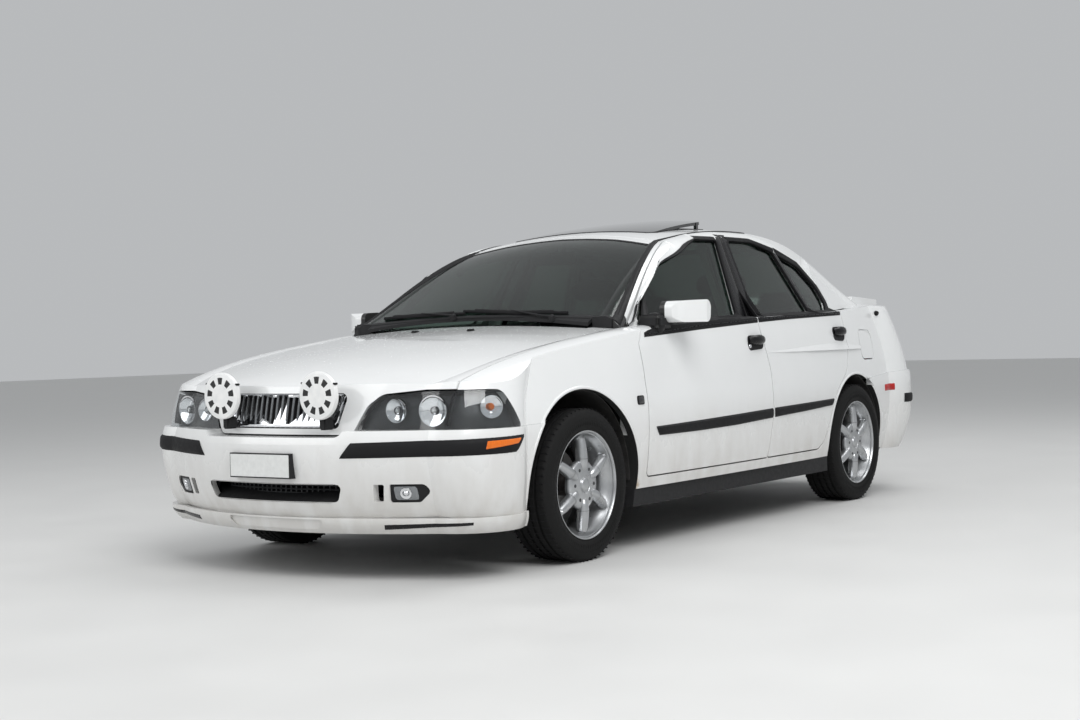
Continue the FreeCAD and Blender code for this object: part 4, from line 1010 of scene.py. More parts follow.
class OBJECT_OT_saloon_fittings(SaloonOperator, bpy.types.Operator):
    """Door handles, side repeaters, mirror bases and glass, washer jets, aerial base and plates"""
    bl_idname = "object.saloon_fittings"
    bl_label = "Handles and small fittings"

    def execute(self, context):
        for end, shape in HANDLES.items():
            skin = Skin(DOORS[end][0])
            dish = disc_patch(skin, "left", rounded(shape, 0.022, 5), "black_plastic", 0.003, 5, -0.002)
            x0, x1 = min(p[0] for p in shape), max(p[0] for p in shape)
            middle = sum(p[1] for p in shape) / len(shape) + 0.012
            bar = [skin.at("left", x0 + 0.014 + (x1 - x0 - 0.028) * i / 12, middle) for i in range(13)]
            lift = [0.003 + 0.017 * math.sin(math.pi * i / 12) ** 0.5 for i in range(13)]
            grip = tube([p + q * h for (p, q), h in zip(bar, lift)],
                        [0.012 + 0.006 * math.sin(math.pi * i / 12) for i in range(13)], "black_gloss", 14, 1.3)
            made = [dish, grip]
            if end == "front":
                p, q = skin.at("left", x1 - 0.016, middle - 0.026)
                made.append(lathe(((0, 0.006), (0.008, 0.006), (0.01, 0.002)), p, q, "chrome", 20))
            pair(made, f"handle_{end}", DOORS[end])
        skin = Skin("front_wings")
        outline = rounded(((0.895, 0.592), (0.895, 0.629), (0.945, 0.629), (0.945, 0.592)), 0.009)
        base = disc_patch(skin, "left", outline, "rubber", 0.003, 3)
        outline = rounded(((0.9, 0.596), (0.9, 0.625), (0.94, 0.625), (0.94, 0.596)), 0.007)
        lens = disc_patch(skin, "left", outline, "smoke_lens", 0.005, 3, 0.004)
        pair([base, lens], "repeater", BODY)
        skin = Skin("door_front_left")
        sail = rounded(((0.806, 0.878), (0.768, 0.903), (0.65, 0.986), (0.602, 1.02), (0.59, 1.0), (0.655, 0.918),
                        (0.77, 0.872)), 0.01)
        pair(disc_patch(skin, "left", sail, "black_plastic", 0.006, 4), "mirror_sail", DOORS["front"])
        skin = Skin("mirror_left")
        outline = rounded(((0.826, 0.93), (0.826, 1.013), (0.975, 1.013), (0.975, 0.935)), 0.03, 5)
        back = disc_patch(skin, "rear", outline, "black_plastic", 0.001, 3)
        outline = rounded(((0.838, 0.94), (0.838, 1.004), (0.965, 1.004), (0.965, 0.945)), 0.025, 5)
        glass = disc_patch(skin, "rear", outline, "mirror_glass", 0.003, 3)
        foot = block((0.628, 0.735, 0.898), (0.758, 0.842, 0.961), "black_plastic", 0.016, 4)
        knob = lathe(((0, -0.046), (0.022, -0.043), (0.036, -0.032), (0.044, -0.012), (0.045, 0.008), (0.038, 0.03),
                      (0.022, 0.043), (0, 0.047)), (0.712, 0.797, 0.923), (0, 0, 1), "black_plastic", 32)
        pair([back, glass, foot, knob], "mirror_glass", DOORS["front"])
        skin = Skin("bonnet")
        jets = []
        for y in (-0.15, 0.15):
            p, _ = skin.at("top", 1.14, y)
            jets.append(block((-0.018, -0.011, -0.004), (0.018, 0.011, 0.009), "black_plastic", 0.004, at=p))
        ride(join("washer_jets", jets), "bonnet")
        p, q = Skin("body_side_left").at("left", -1.68, 0.965)
        profile = ((0, 0.02), (0.007, 0.019), (0.011, 0.012), (0.014, 0.002), (0.014, -0.004))
        ride(join("aerial_base", lathe(profile, p, q + Vector((0.3, 0, 0)), "rubber", 20)), "car_body")
        face = block((2.2575, -0.148, 0.3855), (2.261, 0.148, 0.4685), "plate_white", 0.0012, 2)
        ride(join("front_plate_face", face), "car_body")
        lid = Skin("boot_lid")
        at = min(lid.at("rear", y, z)[0].x for y in (-0.255, 0, 0.255) for z in (0.735, 0.79, 0.845))
        plate = [block((at - 0.003, -0.266, 0.726), (at + 0.016, 0.266, 0.85), "black_plastic", 0.004),
                 block((at - 0.005, -0.26, 0.733), (at + 0.004, 0.26, 0.843), "plate_white", 0.0015, 2)]
        ride(join("rear_plate_face", plate), "boot_lid")
        return {"FINISHED"}


class OBJECT_OT_saloon_front(SaloonOperator, bpy.types.Operator):
    """Grille frame and bars, intakes, lip inserts and fog lamps"""
    bl_idname = "object.saloon_front"
    bl_label = "Grille and intakes"

    def execute(self, context):
        nose = Skin("grille")
        path = rounded(((-0.261, 0.568), (0.261, 0.568), (0.2895, 0.678), (-0.2895, 0.678)), 0.02, 5)
        ride(join("grille_frame", ribbon(nose, "front", path, 0.013, "chrome", 0.009, step=0.02)), "bonnet")
        pitch, count = 0.6 / 22, 21
        unit = tube([(0, 0, 0.56 + 0.125 * i / 8) for i in range(9)], 0.0045, "bar", 8)
        unit.data.transform(Matrix.Translation((0, -pitch * (count - 1) / 2, 0)))
        bars = repeat(unit, count, (0, pitch, 0), 0.0, "bar")
        for v in bars.data.vertices:
            v.co.x += nose.at("front", round(v.co.y / pitch) * pitch, min(0.68, max(0.566, v.co.z)))[0].x + 0.001
        back = [strip(nose, "front", [(y, z) for y in (-0.262, -0.1, 0.1, 0.262)],
                      [(y, z + 0.004) for y in (-0.262, -0.1, 0.1, 0.262)], "bar", 0.0015, 2)
                for z in (0.5715, 0.674)]
        ride(join("grille_bars", [bars] + back), "bonnet")
        skin = Skin("front_bumper")
        path = rounded(((-0.306, 0.297), (0.306, 0.297), (0.331, 0.356), (-0.331, 0.356)), 0.02, 4)
        layer = [ribbon(skin, "front", path, 0.012, "black_plastic", 0.002, step=0.02),
                 block((2.03, -0.345, 0.286), (2.05, 0.345, 0.367), "black_plastic", 0.004)]
        for k in range(4):
            curve = [(2.15 - 0.45 * y * y, y, 0.304 + 0.015 * k) for y in (-0.3, -0.2, -0.1, 0, 0.1, 0.2, 0.3)]
            layer.append(tube(curve, 0.003, "bezel", 6, 1.2))
        posts = tube([(2.146, 0, 0.292), (2.146, 0, 0.36)], 0.0025, "bezel", 6)
        posts.data.transform(Matrix.Translation((0, -0.3, 0)))
        posts = repeat(posts, 25, (0, 0.025, 0), 0.0, "bezel")
        for v in posts.data.vertices:
            v.co.x -= 0.45 * v.co.y ** 2
        layer.append(posts)
        layer += [block((2.01, min(y, y * 1.16), 0.288), (2.03, max(y, y * 1.16), 0.37), "black_plastic", 0.004)
                  for y in (0.44, -0.44)]
        ride(join("intakes", layer), "car_body")
        low, high = lines(((31.8, 0.193), (51, 0.208)), 20), lines(((31.8, 0.212), (51, 0.219)), 20)
        pair(strip(Skin("front_lip"), "front_corner", low, high, "black_gloss", 0.002), "lip_slot", BODY)
        fog = Skin("fog_lamps")
        shape = ((0.522, 0.304), (0.6, 0.304), (0.6, 0.353), (0.522, 0.353))
        made = [disc_patch(fog, "front", rounded(shape, 0.008), "fog_glass", 0.003, 5, 0.004)]
        p, q = fog.at("front", 0.561, 0.329)
        made += [
            lathe(((0.004, 0.0055), (0.016, 0.0068), (0.0205, 0.008), (0.0215, 0.0062)), p, q, "chrome", 32),
            lathe(((0, 0.0105), (0.006, 0.0098), (0.009, 0.0066)), p, q, "chrome", 20),
        ]
        pair(made, "fog_reflector", BODY)
        return {"FINISHED"}


def skin_copy(node, offset, mat, keep, walls=0.0):
    """A copy of a CAD node's outer faces, moved along their normals, with walls back to the old place."""
    edit = bmesh.new()
    edit.from_mesh(CAD[node].data)
    bmesh.ops.remove_doubles(edit, verts=edit.verts, dist=1e-5)
    edit.normal_update()
    bmesh.ops.delete(edit, geom=[f for f in edit.faces if not keep(f)], context="FACES")
    edit.normal_update()
    normals = {v: v.normal.copy() for v in edit.verts}
    for v, normal in normals.items():
        v.co += normal * offset
    if walls:
        rims = [e for e in edit.edges if len(e.link_faces) == 1]
        twins = {}
        for edge in rims:
            for v in edge.verts:
                if v not in twins:
                    twins[v] = edit.verts.new(v.co + normals[v] * walls)
        for edge in rims:
            a, b = edge.verts
            edit.faces.new((a, b, twins[b], twins[a]))
        bmesh.ops.recalc_face_normals(edit, faces=edit.faces)
    mesh = bpy.data.meshes.new("part")
    edit.to_mesh(mesh)
    edit.free()
    mesh.materials.append(MATS[mat])
    mesh.shade_smooth()
    sharp_edges(mesh, 40)
    return new_object(mesh)


class OBJECT_OT_saloon_lamps(SaloonOperator, bpy.types.Operator):
    """Headlamps with reflectors behind a clear lens"""
    bl_idname = "object.saloon_lamps"
    bl_label = "Headlamps"

    def execute(self, context):
        def outside(face):
            c, n = face.calc_center_median(), face.normal
            way = Vector((c.x - 1.0, c.y, 0)).normalized()
            return n.dot(way) > 0.45 and abs(n.z) < 0.75

        lens = skin_copy("headlamps", -0.0005, "lens", outside)
        lens.modifiers.new("thick", "SOLIDIFY").thickness = 0.003
        ride(join("headlamp_lens", plain(lens)), "car_body")
        bezel = skin_copy("headlamps", -0.032, "bezel", outside, 0.03)
        made = []
        skin = Skin("headlamps")
        for y, z, r, lean in ((0.491, 0.621, 0.042, 0.1), (0.633, 0.62, 0.054, 0.16)):
            p, _ = skin.at("front", y, z)
            way = Vector((1, lean, 0.0)).normalized()
            back = p - way * 0.024
            made += [
                lathe(((0.0, -0.005), (r * 0.3, -0.004), (r * 0.6, 0.0), (r * 0.85, 0.006), (r, 0.011),
                       (r * 1.06, 0.011), (r * 1.1, 0.0)), back, way, "chrome", 44),
                lathe(((0, 0.008), (0.007, 0.006), (0.01, -0.004)), back, way, "clear_lens", 20),
                lathe(((0.012, -0.004), (0.013, 0.002), (0.0145, 0.002), (0.0155, -0.004)), back, way, "bezel", 24),
            ]
        p, _ = skin.at("front_corner", 56.0, 0.629)
        way = Vector((0.62, 0.78, 0)).normalized()
        back = p - way * 0.022
        made += [
            lathe(((0.0, -0.005), (0.02, -0.002), (0.038, 0.006), (0.042, 0.006), (0.044, 0.0)), back, way, "chrome",
                  36),
            lathe(((0, 0.01), (0.009, 0.008), (0.012, 0.002), (0.01, -0.004)), back, way, "amber", 20),
        ]
        edge = [(0.692 + 0.01 * i / 6, 0.566 + 0.118 * i / 6) for i in range(7)]
        made.append(strip(skin, "front", edge, [(a + 0.009, b) for a, b in edge], "bezel", -0.004, 2, 0.026))
        inner = join("lamp_inside", made)
        whole = join("headlamp_inside", [bezel, inner, mirror_of(inner)])
        ride(whole, "car_body")
        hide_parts("headlamps")
        return {"FINISHED"}


class OBJECT_OT_saloon_tail(SaloonOperator, bpy.types.Operator):
    """Tail lamps with ribbed fields behind a red cover, lid trims and the exhaust tip"""
    bl_idname = "object.saloon_tail"
    bl_label = "Tail"

    def execute(self, context):
        skin = Skin("tail_lamps")
        fields = (
            ("red_lens", 0.671, 0.744, 5),
            ("smoke_lens", 0.75, 0.8, 4),
            ("amber", 0.806, 0.852, 3),
            ("red_lens", 0.858, 0.908, 4),
        )
        made, n = [], 12
        start, stop = 0.506, 0.7
        for mat, low, high, ribs in fields:
            bottom, top = lines(((start, low), (stop, low)), n), lines(((start, high), (stop, high)), n)
            made.append(strip(skin, "rear", bottom, top, mat, 0.002, 4, 0.002, 0.2))
            for k in range(ribs):
                z = low + (high - low) * (k + 0.5) / ribs
                made.append(strip(skin, "rear", ((start + 0.006, z), (stop - 0.006, z)),
                                  ((start + 0.006, z + 0.004), (stop - 0.006, z + 0.004)), mat, 0.0035, 2, 0.001,
                                  steps=n))
        corner = ((-2.042, 0.652, 0.835, -2.037, 0.664), (-2.034, 0.628, 0.86, -2.022, 0.654),
                  (-2.024, 0.58, 0.9, -2.005, 0.655), (-2.017, 0.545, 0.932, -1.991, 0.657))
        verts = [(x + d, y, z) for x1, y1, z, x2, y2 in corner for x, y in ((x1, y1), (x2, y2)) for d in (0.0, 0.008)]
        edges = ((0, 2), (3, 1), (1, 0), (2, 3))
        faces = [(4 * i + a, 4 * i + b, 4 * i + 4 + b, 4 * i + 4 + a) for i in range(3) for a, b in edges]
        made.append(put(verts, faces + [(0, 1, 3, 2), (12, 14, 15, 13)], "red_lens"))
        pair(made, "tail_fields", BODY)
        lid = Skin("boot_lid")
        made = [strip(lid, "rear", ((-0.28, 0.866), (0.28, 0.866)), ((-0.275, 0.892), (0.275, 0.892)), "paint", 0.01,
                      steps=24)]
        for y in (-0.15, 0.15):
            p, _ = lid.at("rear", y, 0.86)
            made.append(block((-0.014, -0.022, -0.007), (0.004, 0.022, 0.005), "black_plastic", 0.003, at=p))
        p, q = lid.at("rear", 0, 0.7)
        made.append(lathe(((0, 0.004), (0.01, 0.004), (0.013, 0.001)), p, q, "chrome", 24))
        ride(join("lid_trim", made), "boot_lid")
        tip = lathe(((0.0225, -0.04), (0.029, -0.038), (0.03, -0.034), (0.03, 0.012), (0.0275, 0.013), (0.0265, 0.01),
                     (0.0265, -0.03)), (-2.2, -0.48, 0.2), (-1, 0, 0), "chrome", 40)
        ride(join("exhaust_tip", tip), "car_body")
        return {"FINISHED"}


class OBJECT_OT_saloon_driving_lamps(SaloonOperator, bpy.types.Operator):
    """Two round driving lamps under plain covers"""
    bl_idname = "object.saloon_driving_lamps"
    bl_label = "Driving lamps"

    def execute(self, context):
        made = []
        for y in (-LAMP_Y, LAMP_Y):
            at = Vector((2.154, y, LAMP_Z))
            made += [
                lathe(((0.0, -0.002), (0.052, 0.0), (0.058, 0.002), (0.078, 0.022), (0.086, 0.034), (0.088, 0.036),
                       (0.088, 0.044), (0.085, 0.046)), at, (1, 0, 0), "bezel", 56),
                lathe(((0.0885, 0.033), (0.089, 0.036), (0.089, 0.046), (0.087, 0.0505), (0.082, 0.0515),
                       (0.06, 0.0522), (0.03, 0.0527), (0.0, 0.053)), at, (1, 0, 0), "lamp_cover", 56),
            ]
            for turn in (0.5, 2.6):
                way = Vector((0, math.cos(turn), math.sin(turn)))
                made.append(block(at + way * 0.0895 + Vector((0.03, -0.006, -0.004)),
                                  at + way * 0.0895 + Vector((0.049, 0.006, 0.004)), "black_plastic", 0.002))
            made += [
                block((2.132, y - 0.015, 0.556), (2.184, y + 0.015, 0.602), "black_plastic", 0.005),
                lathe(((0, 0.012), (0.009, 0.012), (0.009, -0.03)), (2.16, y, 0.6), (0, 0, 1), "steel_dark", 6),
            ]
        whole = join("driving_lamp_bodies", made)
        ride(whole, "bonnet")
        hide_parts("driving_lamps")
        return {"FINISHED"}


class OBJECT_OT_saloon_wheels(SaloonOperator, bpy.types.Operator):
    """Tyres with tread and wheels with rounded spokes"""
    bl_idname = "object.saloon_wheels"
    bl_label = "Tyres and wheels"

    def execute(self, context):
        size = context.scene.saloon_wheels
        r = size.radius
        centre, axis = (0, 0, 0), (0, 1, 0)
        groove = []
        for y in (-0.048, -0.016, 0.016, 0.048):
            groove += [(r, y - 0.006), (r - 0.007, y - 0.0045), (r - 0.007, y + 0.0045), (r, y + 0.006)]
        tyre = [(0.206, -0.0865), (0.212, -0.0925), (0.217, -0.0915), (0.224, -0.0955), (0.24, -0.098),
                (0.252, -0.099), (0.254, -0.099), (0.264, -0.098), (0.279, -0.0945), (0.289, -0.0885),
                (r - 0.003, -0.082), (r, -0.074)]
        tyre += groove
        tyre += [(a, -b) for a, b in reversed(tyre[:12])] + [(0.206, 0.078), (0.25, 0.066), (0.25, -0.066),
            (0.206, -0.078)]
        carcass = lathe(tyre, centre, axis, "tyre", 96, closed=True)
        cut = block((-0.0025, 0.055, r - 0.004), (0.0025, 0.087, r + 0.0006), "rubber", 0.0008, 1)
        sipe = block((-0.0018, -0.042, r - 0.003), (0.0018, 0.042, r + 0.0004), "rubber", 0.0006, 1)
        unit = join("unit", [cut, mirror_of(cut), sipe])
        tread = round_repeat(unit, size.blocks, "rubber")
        rib = block((-0.0008, 0.0978, 0.234), (0.0008, 0.0993, 0.262), "tyre", 0.0003, 1)
        ribs = round_repeat(rib, 120, "tyre")
        tyre_unit = join("tyre_unit", [carcass, tread, ribs])

        rim = lathe(((0.212, 0.092), (0.2125, 0.089), (0.2065, 0.0865), (0.2057, 0.07), (0.19, 0.054), (0.174, 0.012),
                     (0.188, -0.06), (0.2057, -0.07), (0.2065, -0.0865), (0.2125, -0.089), (0.2115, -0.092),
                     (0.202, -0.091), (0.182, -0.066), (0.167, 0.006), (0.176, 0.04), (0.19, 0.058), (0.197, 0.07),
                     (0.2005, 0.079), (0.2035, 0.08), (0.2045, 0.0875), (0.2075, 0.0915)), centre, axis, "alloy", 96,
                    closed=True)
        hub = lathe(((0.0, 0.08), (0.03, 0.08), (0.031, 0.0785), (0.036, 0.0785), (0.037, 0.08), (0.078, 0.0785),
                     (0.089, 0.0755), (0.096, 0.069), (0.0975, 0.06), (0.0955, 0.05), (0.08, 0.044), (0.05, 0.038),
                     (0, 0.038)), centre, axis, "alloy", 72)
        cap = lathe(((0, 0.0885), (0.016, 0.0878), (0.024, 0.085), (0.0275, 0.0805), (0.0275, 0.076)), centre, axis,
                    "alloy", 44)
        ends = ((0.052, 0.064, 0.012), (0.064, 0.066, 0.0205), (0.078, 0.0675, 0.024), (0.1, 0.068, 0.025),
                (0.13, 0.0665, 0.024), (0.158, 0.0635, 0.023), (0.178, 0.06, 0.0215), (0.19, 0.0565, 0.019),
                (0.1975, 0.053, 0.013))
        spoke = tube([(0, y, at) for at, y, _ in ends], [w for _, _, w in ends], "alloy", 24, 0.88)
        joint = lathe(((0.0262, -0.0006), (0.0266, 0.0), (0.0262, 0.0006)), (0, 0.068, 0.1015), (0, 0, 1),
                      "black_gloss", 32, closed=True)
        spokes = round_repeat(spoke, size.spokes, "alloy")
        joints = round_repeat(joint, size.spokes, "bezel")
        hole = lathe(((0, 0.08), (0.0045, 0.08), (0.0062, 0.0803), (0.007, 0.0796), (0.007, 0.074)), (0, 0, 0.066),
                     axis, "bezel", 16)
        hole.data.transform(Matrix.Rotation(math.pi / 6, 4, "Y"))
        holes = round_repeat(hole, 6, "bezel")
        barrel = lathe(((0.0325, -0.07), (0.046, -0.07), (0.046, 0.045), (0.02, 0.045)), centre, axis, "cast", 40)
        disc = lathe(((0.0325, -0.07), (0.0325, -0.048), (0.07, -0.048), (0.0715, -0.049), (0.134, -0.049),
                      (0.135, -0.05), (0.135, -0.068), (0.134, -0.069)), centre, axis, "disc_steel", 72, closed=True)
        slots = block((-0.0007, -0.0492, 0.078), (0.0007, -0.0486, 0.128), "steel_dark", 0.0002, 1)
        slots.data.transform(Matrix.Rotation(0.35, 4, "Y"))
        slots = round_repeat(slots, 8, "steel_dark")
        valve = tube([(0.01, 0.062, 0.189), (0.01, 0.076, 0.186), (0.01, 0.084, 0.1855)], [0.004, 0.0035, 0.003],
                     "rubber", 10)
        valve.data.transform(Matrix.Rotation(math.pi / 6, 4, "Y"))
        wheel_unit = join("wheel_unit", [rim, hub, cap, spokes, joints, holes, barrel, disc, slots, valve])
        for end, x in AXLES.items():
            for side in ("left", "right"):
                for unit, kind, mat in ((tyre_unit, "tyre", "tyre"), (wheel_unit, "wheel", "alloy")):
                    made = join(f"{kind}_{end}_{side}_finish", new_object(unit.data.copy()))
                    made.data.transform(Matrix.Translation((x, WHEEL_Y, AXLE_Z)))
                    if side == "right":
                        flip(made.data)
                    ride(made, f"wheel_{end}_{side}")
                    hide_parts(f"{kind}_{end}_{side}")
        for unit in (tyre_unit, wheel_unit):
            bpy.data.objects.remove(unit)
        return {"FINISHED"}


def cushion(outline, low, high, mat, seams=(), end_round=10, steps=44, crown=0.02):
    """A padded form: a side outline (x, z) run from low to high in y, pulled in at its ends and at its seams."""
    loop = rounded(outline, 0.045, 6)
    loop = lines(loop + [loop[0]], 56)[:-1]
    n = len(loop)
    cx, cz = sum(p[0] for p in loop) / n, sum(p[1] for p in loop) / n
    half, mid = (high - low) / 2, (high + low) / 2
    verts = []
    for i in range(steps + 1):
        t = -math.cos(math.pi * i / steps)
        share = max(0.02, 1 - abs(t) ** end_round) ** (1 / 3)
        y = mid + half * t
        dent = sum(DENT_DEPTH * math.exp(-((y - s) / DENT_WIDTH) ** 2) for s in seams)
        bolster = crown * (1.6 * min(1, abs(t) / 0.62) ** 4 - 0.6) if seams else -crown * t * t
        for x, z in loop:
            d = Vector((x - cx, z - cz))
            size = d.length * share
            d = d.normalized() * max(0.0, size - (dent + max(0.0, -bolster) if size > 0.03 else 0.0))
            verts.append((cx + d.x, y, cz + d.y))
    obj = put(verts, grid(steps + 1, n, ends=True), mat)
    sharp_edges(obj.data, 60)
    return obj


class OBJECT_OT_saloon_seats(SaloonOperator, bpy.types.Operator):
    """Front seats and rear bench with seams, headrests and rails"""
    bl_idname = "object.saloon_seats"
    bl_label = "Seats"

    def execute(self, context):
        made = []
        for y in (-0.375, 0.375):
            seams = (y - 0.135, y + 0.135)
            made += [
                cushion(((0.08, 0.332), (0.09, 0.5), (-0.42, 0.44), (-0.42, 0.332)), y - 0.25, y + 0.25, "fabric",
                        seams),
                cushion(((-0.362, 0.425), (-0.56, 1.01), (-0.668, 1.01), (-0.52, 0.403)), y - 0.245, y + 0.245,
                        "fabric", seams),
                cushion(((-0.602, 1.062), (-0.616, 1.178), (-0.698, 1.178), (-0.688, 1.062)), y - 0.133, y + 0.133,
                        "fabric", (), 6, 24, 0.01),
            ]
            for side in (-0.06, 0.06):
                made.append(tube([(-0.64, y + side, 0.99), (-0.648, y + side, 1.075)], 0.0075, "chrome", 14))
            for side in (-0.18, 0.18):
                made.append(block((-0.38, y + side - 0.018, 0.2505), (0.04, y + side + 0.018, 0.34), "steel_dark",
                                  0.003))
            outer = y + math.copysign(0.262, y)
            made += [
                block((-0.43, outer - 0.012, 0.372), (-0.22, outer + 0.01, 0.424), "black_plastic", 0.01),
                lathe(((0, 0.016), (0.024, 0.016), (0.028, 0.01), (0.028, -0.004)), (-0.4, outer, 0.45),
                      (0, math.copysign(1, y), 0), "black_plastic", 24),
            ]
        seats = join("front_seat_covers", made)
        ride(seats, "car_body")
        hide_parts("front_seats")
        low = 0.3705
        seams = (-0.41, -0.2, 0.2, 0.41)
        made = [cushion(((-0.702, low), (-0.69, 0.518), (-1.14, 0.472), (-1.145, low)), -0.638, 0.638, "fabric",
                        seams, 24, 90, 0.006),
                cushion(((-1.082, 0.48), (-1.213, 0.998), (-1.258, 0.998), (-1.178, 0.525), (-1.15, 0.505)), -0.54,
                        0.54, "fabric", seams, 24, 90, 0.003)]
        for y in (-0.38, 0.0, 0.38):
            made.append(cushion(((-1.228, 0.988), (-1.24, 1.088), (-1.306, 1.088), (-1.3, 0.988)), y - 0.109,
                                y + 0.109, "fabric", (), 6, 24, 0.008))
        bench = join("rear_seat_covers", made)
        ride(bench, "car_body")
        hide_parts("rear_seat")
        return {"FINISHED"}


class OBJECT_OT_saloon_cabin(SaloonOperator, bpy.types.Operator):
    """Steering wheel, instruments, console, pedals and door trims"""
    bl_idname = "object.saloon_cabin"
    bl_label = "Cabin"

    def execute(self, context):
        centre, axis = Vector((0.44, 0.375, 0.8)), Vector((-0.86, 0, 0.51)).normalized()
        side = Vector((0, 1, 0))
        up = axis.cross(side).normalized()
        if up.z < 0:
            up = -up
        ring = []
        for i in range(65):
            turn = 2 * math.pi * i / 64
            ring.append(centre + (side * math.cos(turn) + up * math.sin(turn)) * 0.185)
        made = [tube(ring, 0.0148, "dash", 14)]
        made.append(lathe(((0, 0.01), (0.04, 0.009), (0.06, 0.004), (0.07, -0.006), (0.066, -0.03), (0.03, -0.04),
                           (0.018, -0.042)), centre, axis, "dash", 48))
        for turn in (0.15, math.pi - 0.15, math.pi * 1.36, math.pi * 1.64):
            way = side * math.cos(turn) + up * math.sin(turn)
            made.append(tube([centre - axis * 0.014 + way * 0.045, centre - axis * 0.01 + way * 0.12,
                              centre + way * 0.178], [0.026, 0.019, 0.015], "dash", 14, 0.45))
        made.append(tube([centre - axis * 0.03, centre - axis * 0.19], 0.018, "black_plastic", 24))
        wheel = join("steering_wheel_rim", made)
        ride(wheel, "steering_wheel")
        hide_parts("steering_wheel")
        dash = Skin("dashboard")
        parts = [block((0.585, 0.215, 0.925), (0.76, 0.535, 0.96), "dash", 0.016, 4)]
        for y in (0.3, 0.45):
            p, _ = dash.at("rear", y, 0.85)
            parts += [
                lathe(((0.0, 0.004), (0.048, 0.004), (0.05, 0.01), (0.055, 0.01), (0.056, 0.0)), p, (-1, 0, 0.25),
                      "bezel", 40),
                lathe(((0.0, 0.005), (0.046, 0.005)), p, (-1, 0, 0.25), "black_gloss", 40),
                block((-0.012, -0.002, -0.004), (-0.008, 0.002, 0.034), "amber", 0.0005, 1, at=p),
            ]
        for y in (-0.52, -0.055, 0.085, 0.59):
            p, _ = dash.at("rear", y, 0.845)
            parts.append(block((-0.01, -0.052, -0.03), (0.014, 0.052, 0.03), "black_plastic", 0.006, at=p))
            for k in range(5):
                parts.append(block((-0.013, -0.046, -0.022 + 0.01 * k), (-0.008, 0.046, -0.018 + 0.01 * k), "bezel",
                                   0.001, 1, at=p))
        p, _ = dash.at("rear", 0.0, 0.74)
        parts.append(block((-0.012, -0.098, -0.08), (0.03, 0.098, 0.062), "black_plastic", 0.008, at=p))
        for z in (0.026, -0.004):
            parts.append(block((-0.017, -0.088, z - 0.011), (-0.006, 0.088, z + 0.013), "bezel", 0.003, at=p))
        for y in (-0.06, 0.0, 0.06):
            parts.append(lathe(((0, 0.026), (0.014, 0.026), (0.019, 0.008), (0.02, 0)), p + Vector((-0.01, y, -0.05)),
                               (-1, 0, 0), "bezel", 24))
        parts += [
            strip(dash, "rear", ((-0.56, 0.705), (-0.18, 0.705)), ((-0.56, 0.78), (-0.18, 0.78)), "dash", 0.006,
                  steps=12),
            block((-0.42, -0.098, 0.2505), (0.56, 0.098, 0.365), "black_plastic", 0.022, 4),
            block((0.18, -0.09, 0.35), (0.54, 0.09, 0.43), "black_plastic", 0.026, 4),
            lathe(((0.0, 0.075), (0.012, 0.07), (0.03, 0.03), (0.052, 0.004), (0.055, -0.01)), (0.26, 0, 0.43),
                  (-0.1, 0, 1), "fabric", 28),
            tube([(0.256, 0, 0.48), (0.24, 0, 0.56)], 0.006, "chrome", 12),
            lathe(((0, 0.03), (0.014, 0.028), (0.022, 0.014), (0.018, -0.01), (0.01, -0.024)), (0.236, 0, 0.58),
                  (-0.1, 0, 1), "dash", 24),
            tube([(-0.02, 0.02, 0.372), (-0.14, 0.02, 0.41), (-0.25, 0.02, 0.428)], [0.012, 0.011, 0.014],
                 "black_plastic", 14),
        ]
        for y, wide in ((0.3, 0.03), (0.39, 0.036), (0.48, 0.024)):
            parts += [
                tube([(0.8, y, 0.52), (0.76, y, 0.42), (0.745, y, 0.36)], 0.007, "steel_dark", 10),
                block((0.73, y - wide, 0.32), (0.748, y + wide, 0.38), "rubber", 0.006),
            ]
        for y in (0.25, 0.51):
            parts.append(tube([centre - axis * 0.06 + Vector((0, math.copysign(0.03, y - 0.375), 0)),
                               centre - axis * 0.05 + Vector((0, math.copysign(0.15, y - 0.375), 0.01))],
                              [0.008, 0.006], "black_plastic", 10))
        ride(join("dash_fittings", parts), "car_body")
        plane = DOOR_CARD_Y
        for end, x0, x1 in (("front", 0.76, -0.15), ("rear", -0.29, -0.8)):
            card = [
                block((x1, plane - 0.016, 0.33), (x0, plane, 0.905), "dash", 0.01, 3),
                block((x1 + 0.06, plane - 0.046, 0.64), (x0 - 0.24, plane - 0.01, 0.69), "black_plastic", 0.014, 4),
                block((x1 + 0.1, plane - 0.02, 0.7), (x0 - 0.2, plane - 0.012, 0.84), "fabric", 0.006),
                block((x1 + 0.04, plane - 0.04, 0.35), (x0 - 0.1, plane - 0.01, 0.47), "black_plastic", 0.012),
                lathe(((0, 0.014), (0.062, 0.012), (0.066, 0.002)), (x0 - 0.12, plane - 0.01, 0.56), (0, -1, 0),
                      "bezel", 32),
                tube([(x0 - 0.16, plane - 0.014, 0.8), (x0 - 0.19, plane - 0.03, 0.8),
                      (x0 - 0.25, plane - 0.03, 0.8)], 0.007, "chrome", 10),
            ]
            pair(card, f"door_trim_{end}", DOORS[end])
        return {"FINISHED"}


